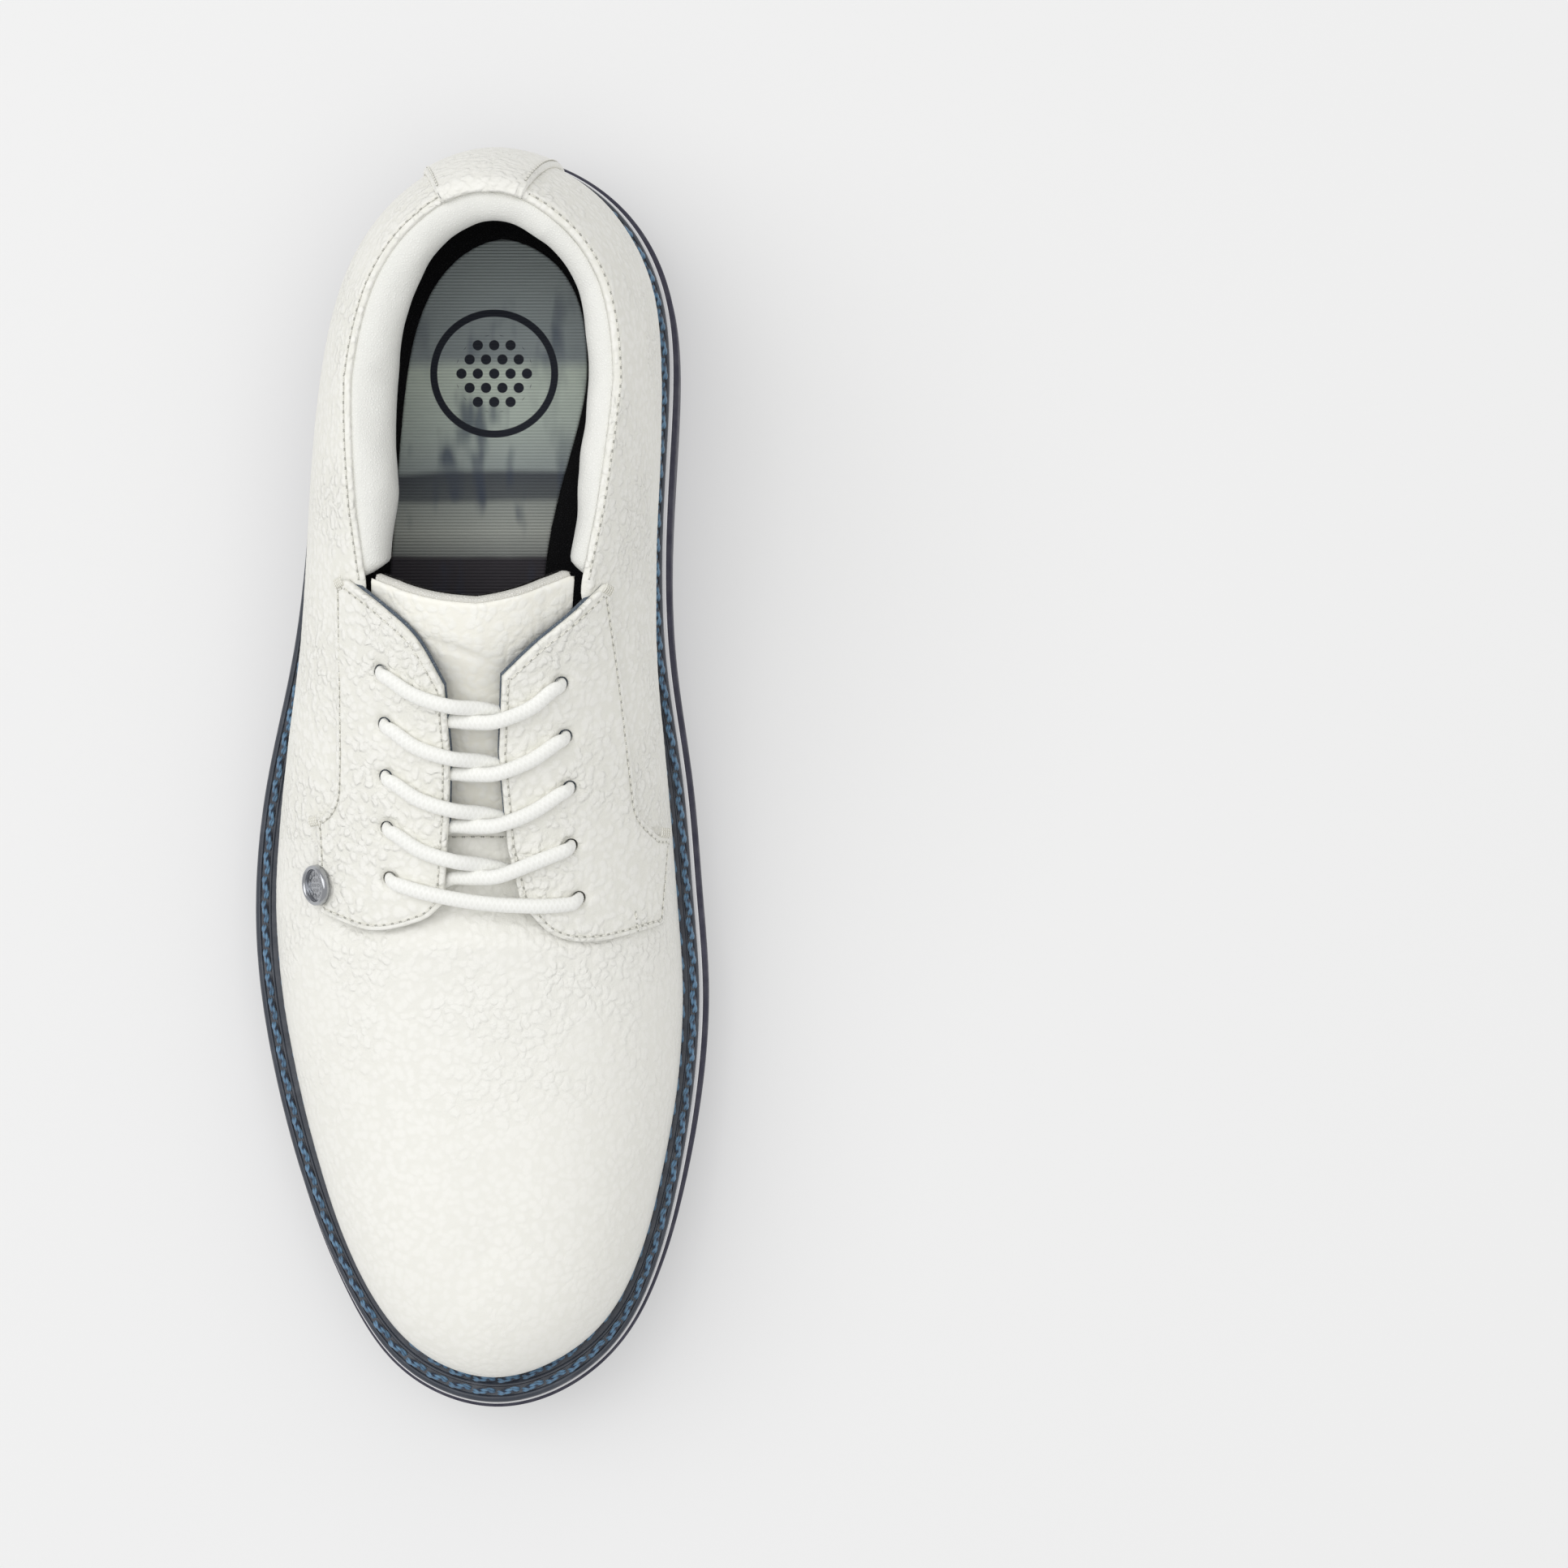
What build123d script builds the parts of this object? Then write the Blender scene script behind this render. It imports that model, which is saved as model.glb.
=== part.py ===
"""Right golf shoe: a plain-toe derby on a welted, spikeless sole.

Millimetres, +Z up. The toe points to -Y, the inner (medial) side is +X and
the shoe stands on z = 0. Every leather, lining and foam piece is a slab
between two offsets of one surface, the outside of the upper.
"""
from build123d import *
import math
import os

import numpy as np

# ---------------------------------------------------------------- driving dimensions
SEAT_HEIGHT = 31.0          # top of the welt at the heel
BALL_HEIGHT = 22.0          # top of the welt under the ball of the foot
TOE_SPRING = 9.0            # how far the toe end of the sole rises
SPRING_START = -55.0        # y where the toe spring starts
WAIST_LIFT = 4.0            # how far the outsole is hollowed between ball and heel
LUG_HEIGHT = 4.5

WELT_WIDTH = 4.8            # welt outside the edge of the upper
WELT_LEAN = 0.9             # the welt is this much wider on the outer side, narrower on the inner
WELT_THICKNESS = 3.6
STRIP_THICKNESS = 1.6       # pale line under the welt
STRIP_WIDTH = 5.3
STRIP_LEAN = 0.6
OUTSOLE_WIDTH = 6.0
TOE_GROWTH = 0.4            # share by which these widths grow at the tip of the toe
WALL_INSET = 3.0            # inner edge of the welt ring, inside the edge of the upper
BOARD_THICKNESS = 2.2
FOAM_THICKNESS = 4.6        # sockliner foam
COVER_THICKNESS = 0.7

LEATHER = 1.5
GAP = 0.1                   # glue line between neighbouring layers
FACING_LIFT = 0.3           # underside of the facings above the leather below
STIFFENER = 1.0
LINING = 0.9
FACING_TOP = FACING_LIFT + LEATHER
LINING_TOP = LEATHER + 2 * GAP + STIFFENER

LACE_DIAMETER = 3.2
LACE_OVER = FACING_TOP + LACE_DIAMETER / 2 + 0.25    # centre of the lace over a facing
BACKING = 1.0                                        # backing under the facing leather
LACE_UNDER = -BACKING - LACE_DIAMETER / 2 - 0.3      # centre of the lace under a facing
LACE_ENDS = {
    "lateral": ((-25.0, 22.5), (-28.5, 17.5), (-30.0, 9.0)),
    "medial": ((27.0, 20.0), (30.5, 15.0), (32.0, 7.0)),
}
TIP_DIAMETER = 2.8
TIP_LENGTH = 16.0
EYELET_DIAMETER = 5.6
EYELET_SHIFT = 0.8          # the lace pulls each hole towards the throat
COLLAR_THICKNESS = 8.5      # padded roll of the collar, measured inwards

TONGUE_DEPTH = 5.4          # outside of the tongue under the outside of the upper

BADGE_DIAMETER = 10.0
BADGE_HEIGHT = 1.8
BADGE_CENTRE = (-35.2, -24.5)
BADGE_LIFT = 0.05
BEZEL_WIDTH = 0.9
POST_DIAMETER = 2.0
WASHER_DIAMETER = 6.0
WASHER_THICKNESS = 0.6

PAD_RADIUS = 15.0
PAD_CENTRES = ((5.0, 104.0), (-1.0, -40.0))
HEEL_LUG_ROWS = (74.0, 140.0)
FOREFOOT_LUG_ROWS = (-136.0, -14.0)
LUG_PITCH = 13.0
LUG_RADIUS = 4.3
LUG_INSETS = (9.0, 22.0, 35.0, 48.0)    # rows of lugs, measured in from the edge of the outsole

OUTER_STITCH = 2.9          # the two stitch rows on the welt, measured out from the upper
INNER_STITCH = 0.85
STITCH_LEAN = 0.4
STITCH_PITCH = 5.9
STITCH_LENGTH = 4.6
STITCH_WIDTH = 1.2
STITCH_DEPTH = 0.8
STITCH_LIFT = 0.25

SHANK_X = 1.0
SHANK_FRONT = -20.0
SHANK_BACK = 85.0
SHANK_WIDTH = 14.0
SHANK_THICKNESS = 1.4

BOARD_INSET = 4.4
SOCKLINER_INSET = 5.8
COVER_INSET = 15.5
ARCH_INSET = 8.5
FOOTBED_GAP = 0.15

VAMP_END = 7.5              # rib where the vamp meets the quarters and the tongue
JOIN = 0.02
CROWN_SHARE = 0.998
THROAT_DIP = 5.3
EDGE_SHARE = 0.006          # the upper stands this share of a rib above the feather edge
COLLAR_START = 9.5
COLLAR_SHARE = 0.21         # height of the collar padding as a share of the rib
PUFF_END = 3.2
TAB_HALF = 0.5
TAB_THICKNESS = 1.3
TONGUE_RIBS = (7.62, 9.42)
TONGUE_EDGES = (0.70, 1.34)
TONGUE_FLARE = 3.0
TONGUE_LEATHER = 1.2
TONGUE_FOAM = 3.2


EYELETS = {
    "lateral": ((-19.2, 24.8), (-18.8, 12.9), (-19.0, 0.9), (-19.1, -11.0), (-18.8, -22.7)),
    "medial": ((21.4, 22.1), (22.1, 10.1), (22.8, -1.6), (22.9, -15.1), (24.5, -27.4)),
}
FACING_OUTLINES = {
    "lateral": {
        "throat": ((-26.3, 45.4), (-18.0, 39.0), (-10.5, 31.8), (-4.6, 21.3)),
        "gap": ((-3.7, 6.0), (-4.4, -8.5), (-6.2, -28.6)),
        "foot": ((-11.5, -32.6), (-23.0, -35.0), (-35.2, -31.2)),
        "wing": ((-35.6, -9.6),),
        "seam": ((-31.6, -5.5), (-30.4, 2.5), (-29.6, 24.0), (-29.1, 45.2)),
    },
    "medial": {
        "throat": ((30.8, 44.4), (24.0, 37.5), (16.3, 31.0), (8.4, 23.5)),
        "gap": ((7.2, 6.0), (8.6, -15.6), (11.4, -28.6)),
        "foot": ((18.5, -36.0), (28.0, -37.8), (42.6, -34.6)),
        "wing": ((43.9, -13.6), (41.4, -13.2)),
        "seam": ((37.4, -8.0), (36.2, 0.0), (34.0, 22.0), (31.4, 44.6)),
    },
}

# ---------------------------------------------------------------- the shape of the upper
# One row for each rib, from the tip of the toe (0) to the back of the heel (14).
# The rib leaves the feather edge, where upper and welt meet, and ends at the crown.
# edge y, edge x lateral, edge x medial, crown x, crown y, crown z, rise, bulge, reach
RIBS = (
    (-142.6, 3.5, 3.5, 3.0, -112.0, 56.0, 20.0, 1.0, 0.62),
    (-138.2, -12.2, 19.1, 3.0, -111.0, 56.0, 20.0, 1.0, 0.62),
    (-128.2, -23.1, 30.6, 3.2, -107.0, 56.5, 21.0, 1.0, 0.62),
    (-113.5, -31.5, 38.0, 3.5, -100.0, 57.5, 22.0, 1.0, 0.62),
    (-95.0, -38.5, 43.0, 4.0, -88.0, 58.5, 23.0, 1.0, 0.62),
    (-74.0, -44.2, 46.6, 4.0, -71.0, 60.0, 25.0, 1.0, 0.60),
    (-51.0, -48.4, 48.0, 3.0, -49.0, 63.0, 27.0, 1.0, 0.57),
    (-27.0, -49.6, 46.4, 2.0, -26.0, 69.0, 29.0, 1.5, 0.53),
    (0.0, -46.5, 44.0, 2.0, 0.0, 78.5, 34.0, 5.0, 0.53),
    (30.0, -40.0, 40.0, 2.8, 28.0, 92.5, 38.0, 10.5, 0.56),
    (62.0, -36.0, 39.5, 4.5, 58.0, 107.0, 38.0, 12.0, 0.70),
    (92.0, -33.5, 41.0, 5.0, 84.0, 114.0, 35.0, 10.0, 0.80),
    (116.0, -28.5, 39.0, 5.0, 98.0, 116.0, 33.0, 8.5, 0.80),
    (135.0, -16.0, 27.5, 5.0, 104.0, 117.0, 32.0, 8.5, 0.78),
    (144.0, 5.5, 5.5, 5.0, 106.0, 117.0, 32.0, 9.0, 0.78),
)
HEEL = len(RIBS) - 1
LOOP = 2 * HEEL

# Where the top edge of the quarters runs, as a share of the rib, by rib number.
TOPLINE = {9.4: 0.605, 10.0: 0.565, 11.0: 0.525, 12.0: 0.545, 13.0: 0.585, 14.0: 0.60}


def smoothstep(low, high, value):
    """Ease from 0 at low to 1 at high."""
    share = min(max((value - low) / (high - low), 0.0), 1.0)
    return share * share * (3.0 - 2.0 * share)


def toe_spring(y):
    """Rise of the sole above the ground towards the toe."""
    reach = SPRING_START - RIBS[0][0]
    return TOE_SPRING * (max(SPRING_START - y, 0.0) / reach) ** 2


def seat_line(y):
    """Height of the top of the welt."""
    return BALL_HEIGHT + (SEAT_HEIGHT - BALL_HEIGHT) * smoothstep(-35.0, 85.0, y) + toe_spring(y)


def bottom_line(y):
    """Height of the underside of the outsole, above the lugs."""
    waist = smoothstep(-25.0, 15.0, y) * (1.0 - smoothstep(45.0, 75.0, y))
    return LUG_HEIGHT + WAIST_LIFT * waist + toe_spring(y)


def closed_curve(rows):
    """Smooth closed curve through the rows, one unit of parameter apart."""
    rows = np.array(rows, float)
    count = len(rows)
    mix = (4 * np.eye(count) + np.roll(np.eye(count), 1, 0) + np.roll(np.eye(count), -1, 0)) / 6
    controls = np.linalg.solve(mix, rows)

    def at(w):
        whole = math.floor(w)
        part = w - whole
        weights = (
            (1 - part) ** 3,
            3 * part**3 - 6 * part**2 + 4,
            -3 * part**3 + 3 * part**2 + 3 * part + 1,
            part**3,
        )
        return sum(k * controls[(whole - 1 + i) % count] for i, k in enumerate(weights)) / 6

    return at


def rib_row(index, medial):
    """Numbers of one rib: edge point, crown point, rise, bulge and reach."""
    y, lateral_x, medial_x, *rest = RIBS[index]
    return (medial_x if medial else lateral_x, y, seat_line(y), *rest)


rib_at = closed_curve(
    [rib_row(i, True) for i in range(HEEL + 1)] + [rib_row(i, False) for i in range(HEEL - 1, 0, -1)]
)


def on_upper(w, t):
    """Point of the upper: w runs round the shoe (medial side positive), t up the rib.

    t is 0 at the feather edge and 1 at the crown. Past 1 it runs down the other side.
    """
    if t > 1.0:
        w, t = -w, 2.0 - t
    row = rib_at(w)
    edge, crown = row[0:3], row[3:6]
    rise, bulge, reach = row[6:9]
    out = (edge - crown) * (1.0, 1.0, 0.0)
    span = np.linalg.norm(out)
    out = out / span
    knee = edge + out * bulge + (0.0, 0.0, rise)
    shoulder = crown + out * reach * span
    s = 1.0 - t
    return s**3 * edge + 3 * s * s * t * knee + 3 * s * t * t * shoulder + t**3 * crown


def offset_point(w, t, offset):
    """Point of the upper moved outwards along its normal.

    The direction round the shoe is taken a little below the crown, where the ribs meet.
    """
    step = 1e-3
    beside = min(t, 0.93) if t <= 1.0 else max(t, 1.07)
    along = on_upper(w + step, beside) - on_upper(w - step, beside)
    up = on_upper(w, t + step) - on_upper(w, max(t - step, 0.0))
    normal = np.cross(along, up)
    return on_upper(w, t) + offset * normal / np.linalg.norm(normal)


def find_above(x, y):
    """Rib and share of the upper's point straight above (x, y), on the instep."""
    guesses = [(side * w, t) for side in (-1, 1) for w in (6, 7, 8, 9, 9.6) for t in (0.45, 0.7, 0.9)]
    target = np.array((x, y))
    w, t = min(guesses, key=lambda g: np.linalg.norm(on_upper(*g)[:2] - target))
    step = 1e-3
    for _ in range(20):
        here = on_upper(w, t)[:2]
        by_w = (on_upper(w + step, t)[:2] - here) / step
        by_t = (on_upper(w, t + step)[:2] - here) / step
        move = np.linalg.solve(np.column_stack((by_w, by_t)), target - here)
        w, t = w + move[0], t + move[1]
    return w, t


def above(x, y, lift=0.0):
    """Point of the instep over (x, y), lifted along the upper's normal."""
    return Vector(*offset_point(*find_above(x, y), lift))


# ---------------------------------------------------------------- building blocks
def face_through(rows):
    """Smooth face through a grid of points."""
    return Face.make_surface_from_array_of_points([[Vector(*p) for p in row] for row in rows], tol=0.02)


def closed_solid(faces):
    """Solid inside a set of faces that meet edge to edge."""
    solid = Solid(Shell(faces))
    return solid if solid.volume > 0 else Solid(Shell([face.reversed() for face in faces]))


def side_faces(outer, inner):
    """Ruled faces between matching edges of two faces."""
    return [Face.make_surface_from_curves(a, b) for a, b in zip(outer.edges(), inner.edges())]


def layer_faces(w_range, low, high, inside, outside, columns, rows):
    """Outer and inner face of a slab of the upper."""
    low_at, high_at = [edge if callable(edge) else (lambda w, value=edge: value) for edge in (low, high)]
    faces = []
    for offset in (outside, inside):
        offset_at = offset if callable(offset) else (lambda w, t, value=offset: value)
        grid = []
        for w in np.linspace(*w_range, columns):
            shares = np.linspace(low_at(w), high_at(w), rows)
            grid.append([offset_point(w, t, offset_at(w, t)) for t in shares])
        faces.append(face_through(grid))
    return faces


def slab(w_range, low, high, inside, outside, columns=18, rows=8):
    """Slab of the upper from rib to rib, and from share low to share high of each rib.

    low, high, inside and outside are numbers, or functions of w for the shares and
    of (w, t) for the two offsets.
    """
    outer, inner = layer_faces(w_range, low, high, inside, outside, columns, rows)
    return closed_solid([outer, inner, *side_faces(outer, inner)])


def throat_dip(w, t):
    """How far the back of the vamp sinks under the facings, to leave room for the lace."""
    return THROAT_DIP * smoothstep(6.5, 6.85, abs(w)) * smoothstep(0.4, 0.53, t)


def toe_slab(w_end, low, inside, outside):
    """Slab round the toe, from rib -w_end to rib w_end, closed to a hairline along the crown."""
    return slab(
        (-w_end, w_end),
        low,
        CROWN_SHARE,
        lambda w, t: inside - throat_dip(w, t),
        lambda w, t: outside - throat_dip(w, t),
        columns=37,
        rows=12,
    )


def topline(w):
    """Share of rib w at the top edge of the quarters."""
    place = min(abs(w), LOOP - abs(w))
    marks = sorted(TOPLINE)
    return float(np.interp(place, marks, [TOPLINE[mark] for mark in marks]))


def toe_growth(w):
    """How much wider the sole's edge stands out round the tip of the toe."""
    return 1.0 + TOE_GROWTH * (1.0 - smoothstep(0.0, 3.0, min(w, LOOP - w)))


def seat_outline(offset, count=LOOP):
    """Closed plan outline: the feather edge moved outwards, by a number or a function of the rib."""
    points = []
    for i in range(count):
        w = i * LOOP / count
        reach = offset(w) if callable(offset) else offset
        if reach > 0:
            reach *= toe_growth(w)
        edge = rib_at(w)[0:2]
        along = rib_at(w + 0.01)[0:2] - rib_at(w - 0.01)[0:2]
        normal = np.array((along[1], -along[0])) / np.linalg.norm(along)
        points.append(tuple(edge + reach * normal))
    return Spline(*points, periodic=True)


def plan_prism(outline):
    """Tall upright prism with the plan outline."""
    return extrude(Pos(0, 0, -20) * make_face(outline), 180)


def side_prism(bottom, top, front=-170.0, back=170.0, stations=18):
    """Wide prism between two heights that change along the shoe."""
    ys = np.linspace(front, back, stations)
    upper = Spline(*[(0, y, top(y)) for y in ys])
    lower = Spline(*[(0, y, bottom(y)) for y in ys])
    ends = [Line(lower @ 0, upper @ 0), Line(lower @ 1, upper @ 1)]
    face = Face(Wire([*ends, upper, lower]))
    return extrude(face, 90, dir=(1, 0, 0), both=True)


def sole_layer(offset, bottom, top, inner=None):
    """Layer of the sole: a plate, or a ring when an inner offset is given."""
    plan = plan_prism(seat_outline(offset))
    if inner is not None:
        plan = plan - plan_prism(seat_outline(inner))
    return plan & side_prism(bottom, top)


# ---------------------------------------------------------------- the sole
def welt_underside(y):
    return seat_line(y) - WELT_THICKNESS


def strip_underside(y):
    return welt_underside(y) - STRIP_THICKNESS


def raised(line, amount):
    """The same height line, moved up."""
    return lambda y: line(y) + amount


def make_outsole():
    return sole_layer(OUTSOLE_WIDTH, bottom_line, strip_underside)


def tread_piece(x, y, radius, under):
    """Round tread piece with a flat foot, up to the underside of the outsole."""
    blank = Cylinder(radius, 40.0, align=(Align.CENTER, Align.CENTER, Align.MIN))
    return Pos(x, y, toe_spring(y)) * blank & under


def outsole_shadow():
    """Everything below the underside of the outsole."""
    return side_prism(lambda y: -20.0, raised(bottom_line, -GAP))


def make_tread_pads():
    """Two broad flat pads, under the heel and under the ball of the foot."""
    under = outsole_shadow()
    return [tread_piece(x, y, PAD_RADIUS, under) for x, y in PAD_CENTRES]


def lug_places(front, back):
    """Centres of the lugs between two y values: rows that follow the sole's outline."""
    places = []
    for inset in LUG_INSETS:
        row = seat_outline(OUTSOLE_WIDTH - inset)
        count = round(row.length / LUG_PITCH)
        for i in range(count):
            spot = row @ (i / count)
            apart = [math.dist((spot.X, spot.Y), other) for other in places]
            clear = all(math.dist((spot.X, spot.Y), pad) > PAD_RADIUS + LUG_RADIUS + 2 for pad in PAD_CENTRES)
            if clear and front < spot.Y < back and min(apart, default=LUG_PITCH) > 2.4 * LUG_RADIUS:
                places.append((spot.X, spot.Y))
    return places


def make_lugs(front, back):
    under = outsole_shadow()
    return [tread_piece(x, y, LUG_RADIUS, under) for x, y in lug_places(front, back)]


def outer_side(w):
    """1 along the outer side of the shoe, -1 along the inner side, 0 at the toe and the heel."""
    place = min(w, LOOP - w)
    share = smoothstep(1.5, 5.5, place) * (1.0 - smoothstep(12.0, HEEL, place))
    return share if w > HEEL else -share


def leaning(offset, lean):
    """Offset as a function of the rib, wider on the outer side."""
    return lambda w: offset + lean * outer_side(w)


def make_strip():
    return sole_layer(leaning(STRIP_WIDTH, STRIP_LEAN), strip_underside, welt_underside, inner=-WALL_INSET)


def make_welt():
    """Welt ring with a channel for each row of stitches."""
    half = STITCH_WIDTH / 2 + 0.15
    channels = []
    for row, lean in ((OUTER_STITCH, STITCH_LEAN), (INNER_STITCH, 0.0)):
        outer = plan_prism(seat_outline(leaning(row + half, lean)))
        channels.append(outer - plan_prism(seat_outline(leaning(row - half, lean))))
    welt = sole_layer(leaning(WELT_WIDTH, WELT_LEAN), welt_underside, seat_line, inner=-WALL_INSET)
    above_floor = side_prism(raised(seat_line, -STITCH_DEPTH), raised(seat_line, 3))
    return welt - [channel & above_floor for channel in channels]


def make_stitch_row(offset, lean):
    """Stitches of one row, each a small bar lying in the channel of the welt."""
    curve = seat_outline(leaning(offset, lean))
    count = round(curve.length / STITCH_PITCH)
    bar = Box(STITCH_LENGTH, STITCH_WIDTH, STITCH_DEPTH, align=(Align.CENTER, Align.CENTER, Align.MIN))
    bars = []
    for i in range(count):
        ends = [curve @ ((i + shift) / count) for shift in (-0.3, 0.3)]
        start, end = [Vector(p.X, p.Y, seat_line(p.Y)) for p in ends]
        along = end - start
        across = Vector(0, 0, 1).cross(along)
        place = Plane((start + end) / 2, x_dir=along, z_dir=along.cross(across))
        bars.append(place.location * Pos(0, 0, STITCH_LIFT - STITCH_DEPTH) * bar)
    return bars


def make_filler():
    """Cork and foam under the insole board, with the slot for the shank."""
    filler = sole_layer(-WALL_INSET - GAP, strip_underside, seat_line)
    slot = Pos(SHANK_X, (SHANK_FRONT + SHANK_BACK) / 2, 0)
    slot = slot * Box(SHANK_WIDTH + 0.4, SHANK_BACK - SHANK_FRONT + 0.4, 200)
    return filler - (slot & side_prism(raised(seat_line, -SHANK_THICKNESS), raised(seat_line, 9)))


def make_shank():
    """Steel strip that stiffens the waist of the sole."""
    blank = Box(SHANK_WIDTH, SHANK_BACK - SHANK_FRONT, 200)
    blank = Pos(SHANK_X, (SHANK_FRONT + SHANK_BACK) / 2, 0) * blank
    return blank & side_prism(raised(seat_line, -SHANK_THICKNESS + 0.05), raised(seat_line, -0.05))


def make_insole_board():
    return sole_layer(-BOARD_INSET, seat_line, raised(seat_line, BOARD_THICKNESS))


def footbed_line(height):
    """Height line inside the shoe, measured up from the insole board."""
    return raised(seat_line, BOARD_THICKNESS + FOOTBED_GAP + height)


def cover_edge(slack):
    """Edge of the printed cover as a function of the rib, drawn in along the arch."""
    def reach(w):
        arch = smoothstep(6.0, 7.5, w) * (1.0 - smoothstep(9.4, 11.2, w))
        return slack - COVER_INSET - ARCH_INSET * arch
    return reach


def make_sockliner_foam():
    foam = sole_layer(-SOCKLINER_INSET, footbed_line(0), footbed_line(FOAM_THICKNESS))
    recess = sole_layer(cover_edge(0.2), footbed_line(FOAM_THICKNESS - COVER_THICKNESS), footbed_line(20))
    return foam - recess


def make_sockliner_cover():
    return sole_layer(cover_edge(0.0), footbed_line(FOAM_THICKNESS - COVER_THICKNESS), footbed_line(FOAM_THICKNESS))


# ---------------------------------------------------------------- the upper
def facing_outline(side):
    """Plan outline of a facing: throat edge, rounded foot, wing, step and rear seam."""
    points = FACING_OUTLINES[side]
    throat = Spline(*points["throat"])
    gap_edge = Polyline(points["throat"][-1], *points["gap"])
    foot = Spline(points["gap"][-1], *points["foot"])
    wing = Polyline(points["foot"][-1], *points["wing"])
    seam = Spline(points["wing"][-1], *points["seam"])
    top = Line(points["seam"][-1], points["throat"][0])
    return [throat, *gap_edge.edges(), foot, *wing.edges(), seam, top]


def eyelet_cutter(x, y):
    """Round punch square to the leather at an eyelet."""
    x -= math.copysign(EYELET_SHIFT, x)
    low, high = above(x, y, -3.0), above(x, y, 4.0)
    return Plane(low, z_dir=high - low).location * Cylinder(
        EYELET_DIAMETER / 2, 7.0, align=(Align.CENTER, Align.CENTER, Align.MIN)
    )


def side_ribs(side, first, last):
    """Range of ribs on one side of the shoe, in rising order."""
    return (first, last) if side == "medial" else (-last, -first)


def make_facing(side, low, inside, outside, ribs):
    """Leather or backing layer of a facing, with its five punched eyelets."""
    layer = slab(side_ribs(side, *ribs), low, 0.985, inside, outside)
    layer = layer & plan_prism(facing_outline(side))
    for x, y in EYELETS[side]:
        layer = layer - eyelet_cutter(x, y)
    return layer


def make_quarter(side):
    ribs = side_ribs(side, VAMP_END + JOIN, HEEL - JOIN)
    return slab(ribs, EDGE_SHARE, topline, -LEATHER, 0.0, columns=32, rows=10)


def make_heel_tab():
    return slab((HEEL - TAB_HALF, HEEL + TAB_HALF), 0.04, topline, GAP, GAP + TAB_THICKNESS)


def make_counter():
    """Stiff cup between the quarters and the lining at the heel."""
    return slab((12.1, LOOP - 12.1), 0.02, 0.34, -LEATHER - STIFFENER, -LEATHER - 2 * GAP, columns=20)


def make_quarter_lining():
    ribs = (VAMP_END + JOIN, LOOP - VAMP_END - JOIN)
    return slab(ribs, EDGE_SHARE, collar_foot, -LINING_TOP - LINING, -LINING_TOP, columns=40)


def collar_foot(w):
    """Share of rib w at the lower edge of the padded collar."""
    return topline(w) - COLLAR_SHARE


def make_collar_foam():
    ribs = (COLLAR_START, LOOP - COLLAR_START)
    return slab(ribs, lambda w: collar_foot(w) + 0.01, topline, -COLLAR_THICKNESS, -LEATHER - 3 * GAP, columns=32)


def make_collar_lining():
    """Soft skin down the inside of the collar padding."""
    ribs = (COLLAR_START, LOOP - COLLAR_START)
    outside = -COLLAR_THICKNESS - GAP
    return slab(ribs, lambda w: collar_foot(w) + 0.01, topline, outside - LINING, outside, columns=32)


def make_collar_rim():
    """Skin over the top of the padding, from the inside of the collar to the outer leather."""
    ribs = (COLLAR_START, LOOP - COLLAR_START)
    inside = -COLLAR_THICKNESS - GAP - LINING
    return slab(ribs, lambda w: topline(w) + 0.004, lambda w: topline(w) + 0.015, inside, 0.0, columns=32, rows=3)


def tongue_depth(w):
    """Depth of the outside of the tongue, less towards its free top edge."""
    return TONGUE_DEPTH - TONGUE_FLARE * smoothstep(9.0, 9.4, w)


def make_tongue_layer(top, thickness):
    def outside(w, t):
        return -tongue_depth(w) - top

    def inside(w, t):
        return -tongue_depth(w) - top - thickness

    return slab(TONGUE_RIBS, TONGUE_EDGES[0], TONGUE_EDGES[1], inside, outside)


# ---------------------------------------------------------------- the lace
def through_eyelet(side, row):
    """Lace points going down through an eyelet."""
    x, y = EYELETS[side][row]
    return [above(x, y, LACE_OVER), above(x, y, LACE_UNDER)]


def lace_half(side):
    """Points from the bottom eyelet of one side up the rows, and to the tucked-in end."""
    points = through_eyelet(side, 4)
    for row in (3, 2, 1, 0):
        y = EYELETS["lateral"][row][1]
        target = "medial" if side == "lateral" else "lateral"
        if side == "lateral":
            # Out from under the lateral facing, across the gap and over the medial one.
            points += [above(-6.5, y - 13.0, LACE_UNDER), above(-0.5, y - 11.6, 0.6), above(6.0, y - 10.2, LACE_OVER)]
            points += [above(14.5, y - 6.0, LACE_OVER)]
        else:
            # Out from under the medial facing, below the other strand, over the lateral one.
            points += [above(12.5, y - 12.6, LACE_UNDER), above(5.5, y - 9.4, -1.2), above(-1.5, y - 7.4, 2.8)]
            points += [above(-9.5, y - 5.6, LACE_OVER)]
        points += through_eyelet(target, row)
        side = target
    return points + [above(x, y, LACE_UNDER - 0.4) for x, y in LACE_ENDS[side]]


def lace_points():
    """All points of the lace, from one end to the other."""
    bar = [above(-8.0, -25.6, LACE_OVER + 0.2), above(2.0, -27.6, LACE_OVER + 0.4),
           above(13.0, -28.4, LACE_OVER + 0.2)]
    return list(reversed(lace_half("lateral"))) + bar + lace_half("medial")


def corner_radii(points, largest=14.0):
    """Largest tangent arc that the runs beside each corner leave room for."""
    radii = []
    for before, corner, after in zip(points, points[1:], points[2:]):
        first, second = corner - before, after - corner
        turn = math.radians(first.get_angle(second))
        radii.append(min(largest, 0.45 * min(first.length, second.length) / math.tan(turn / 2)))
    return radii


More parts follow.
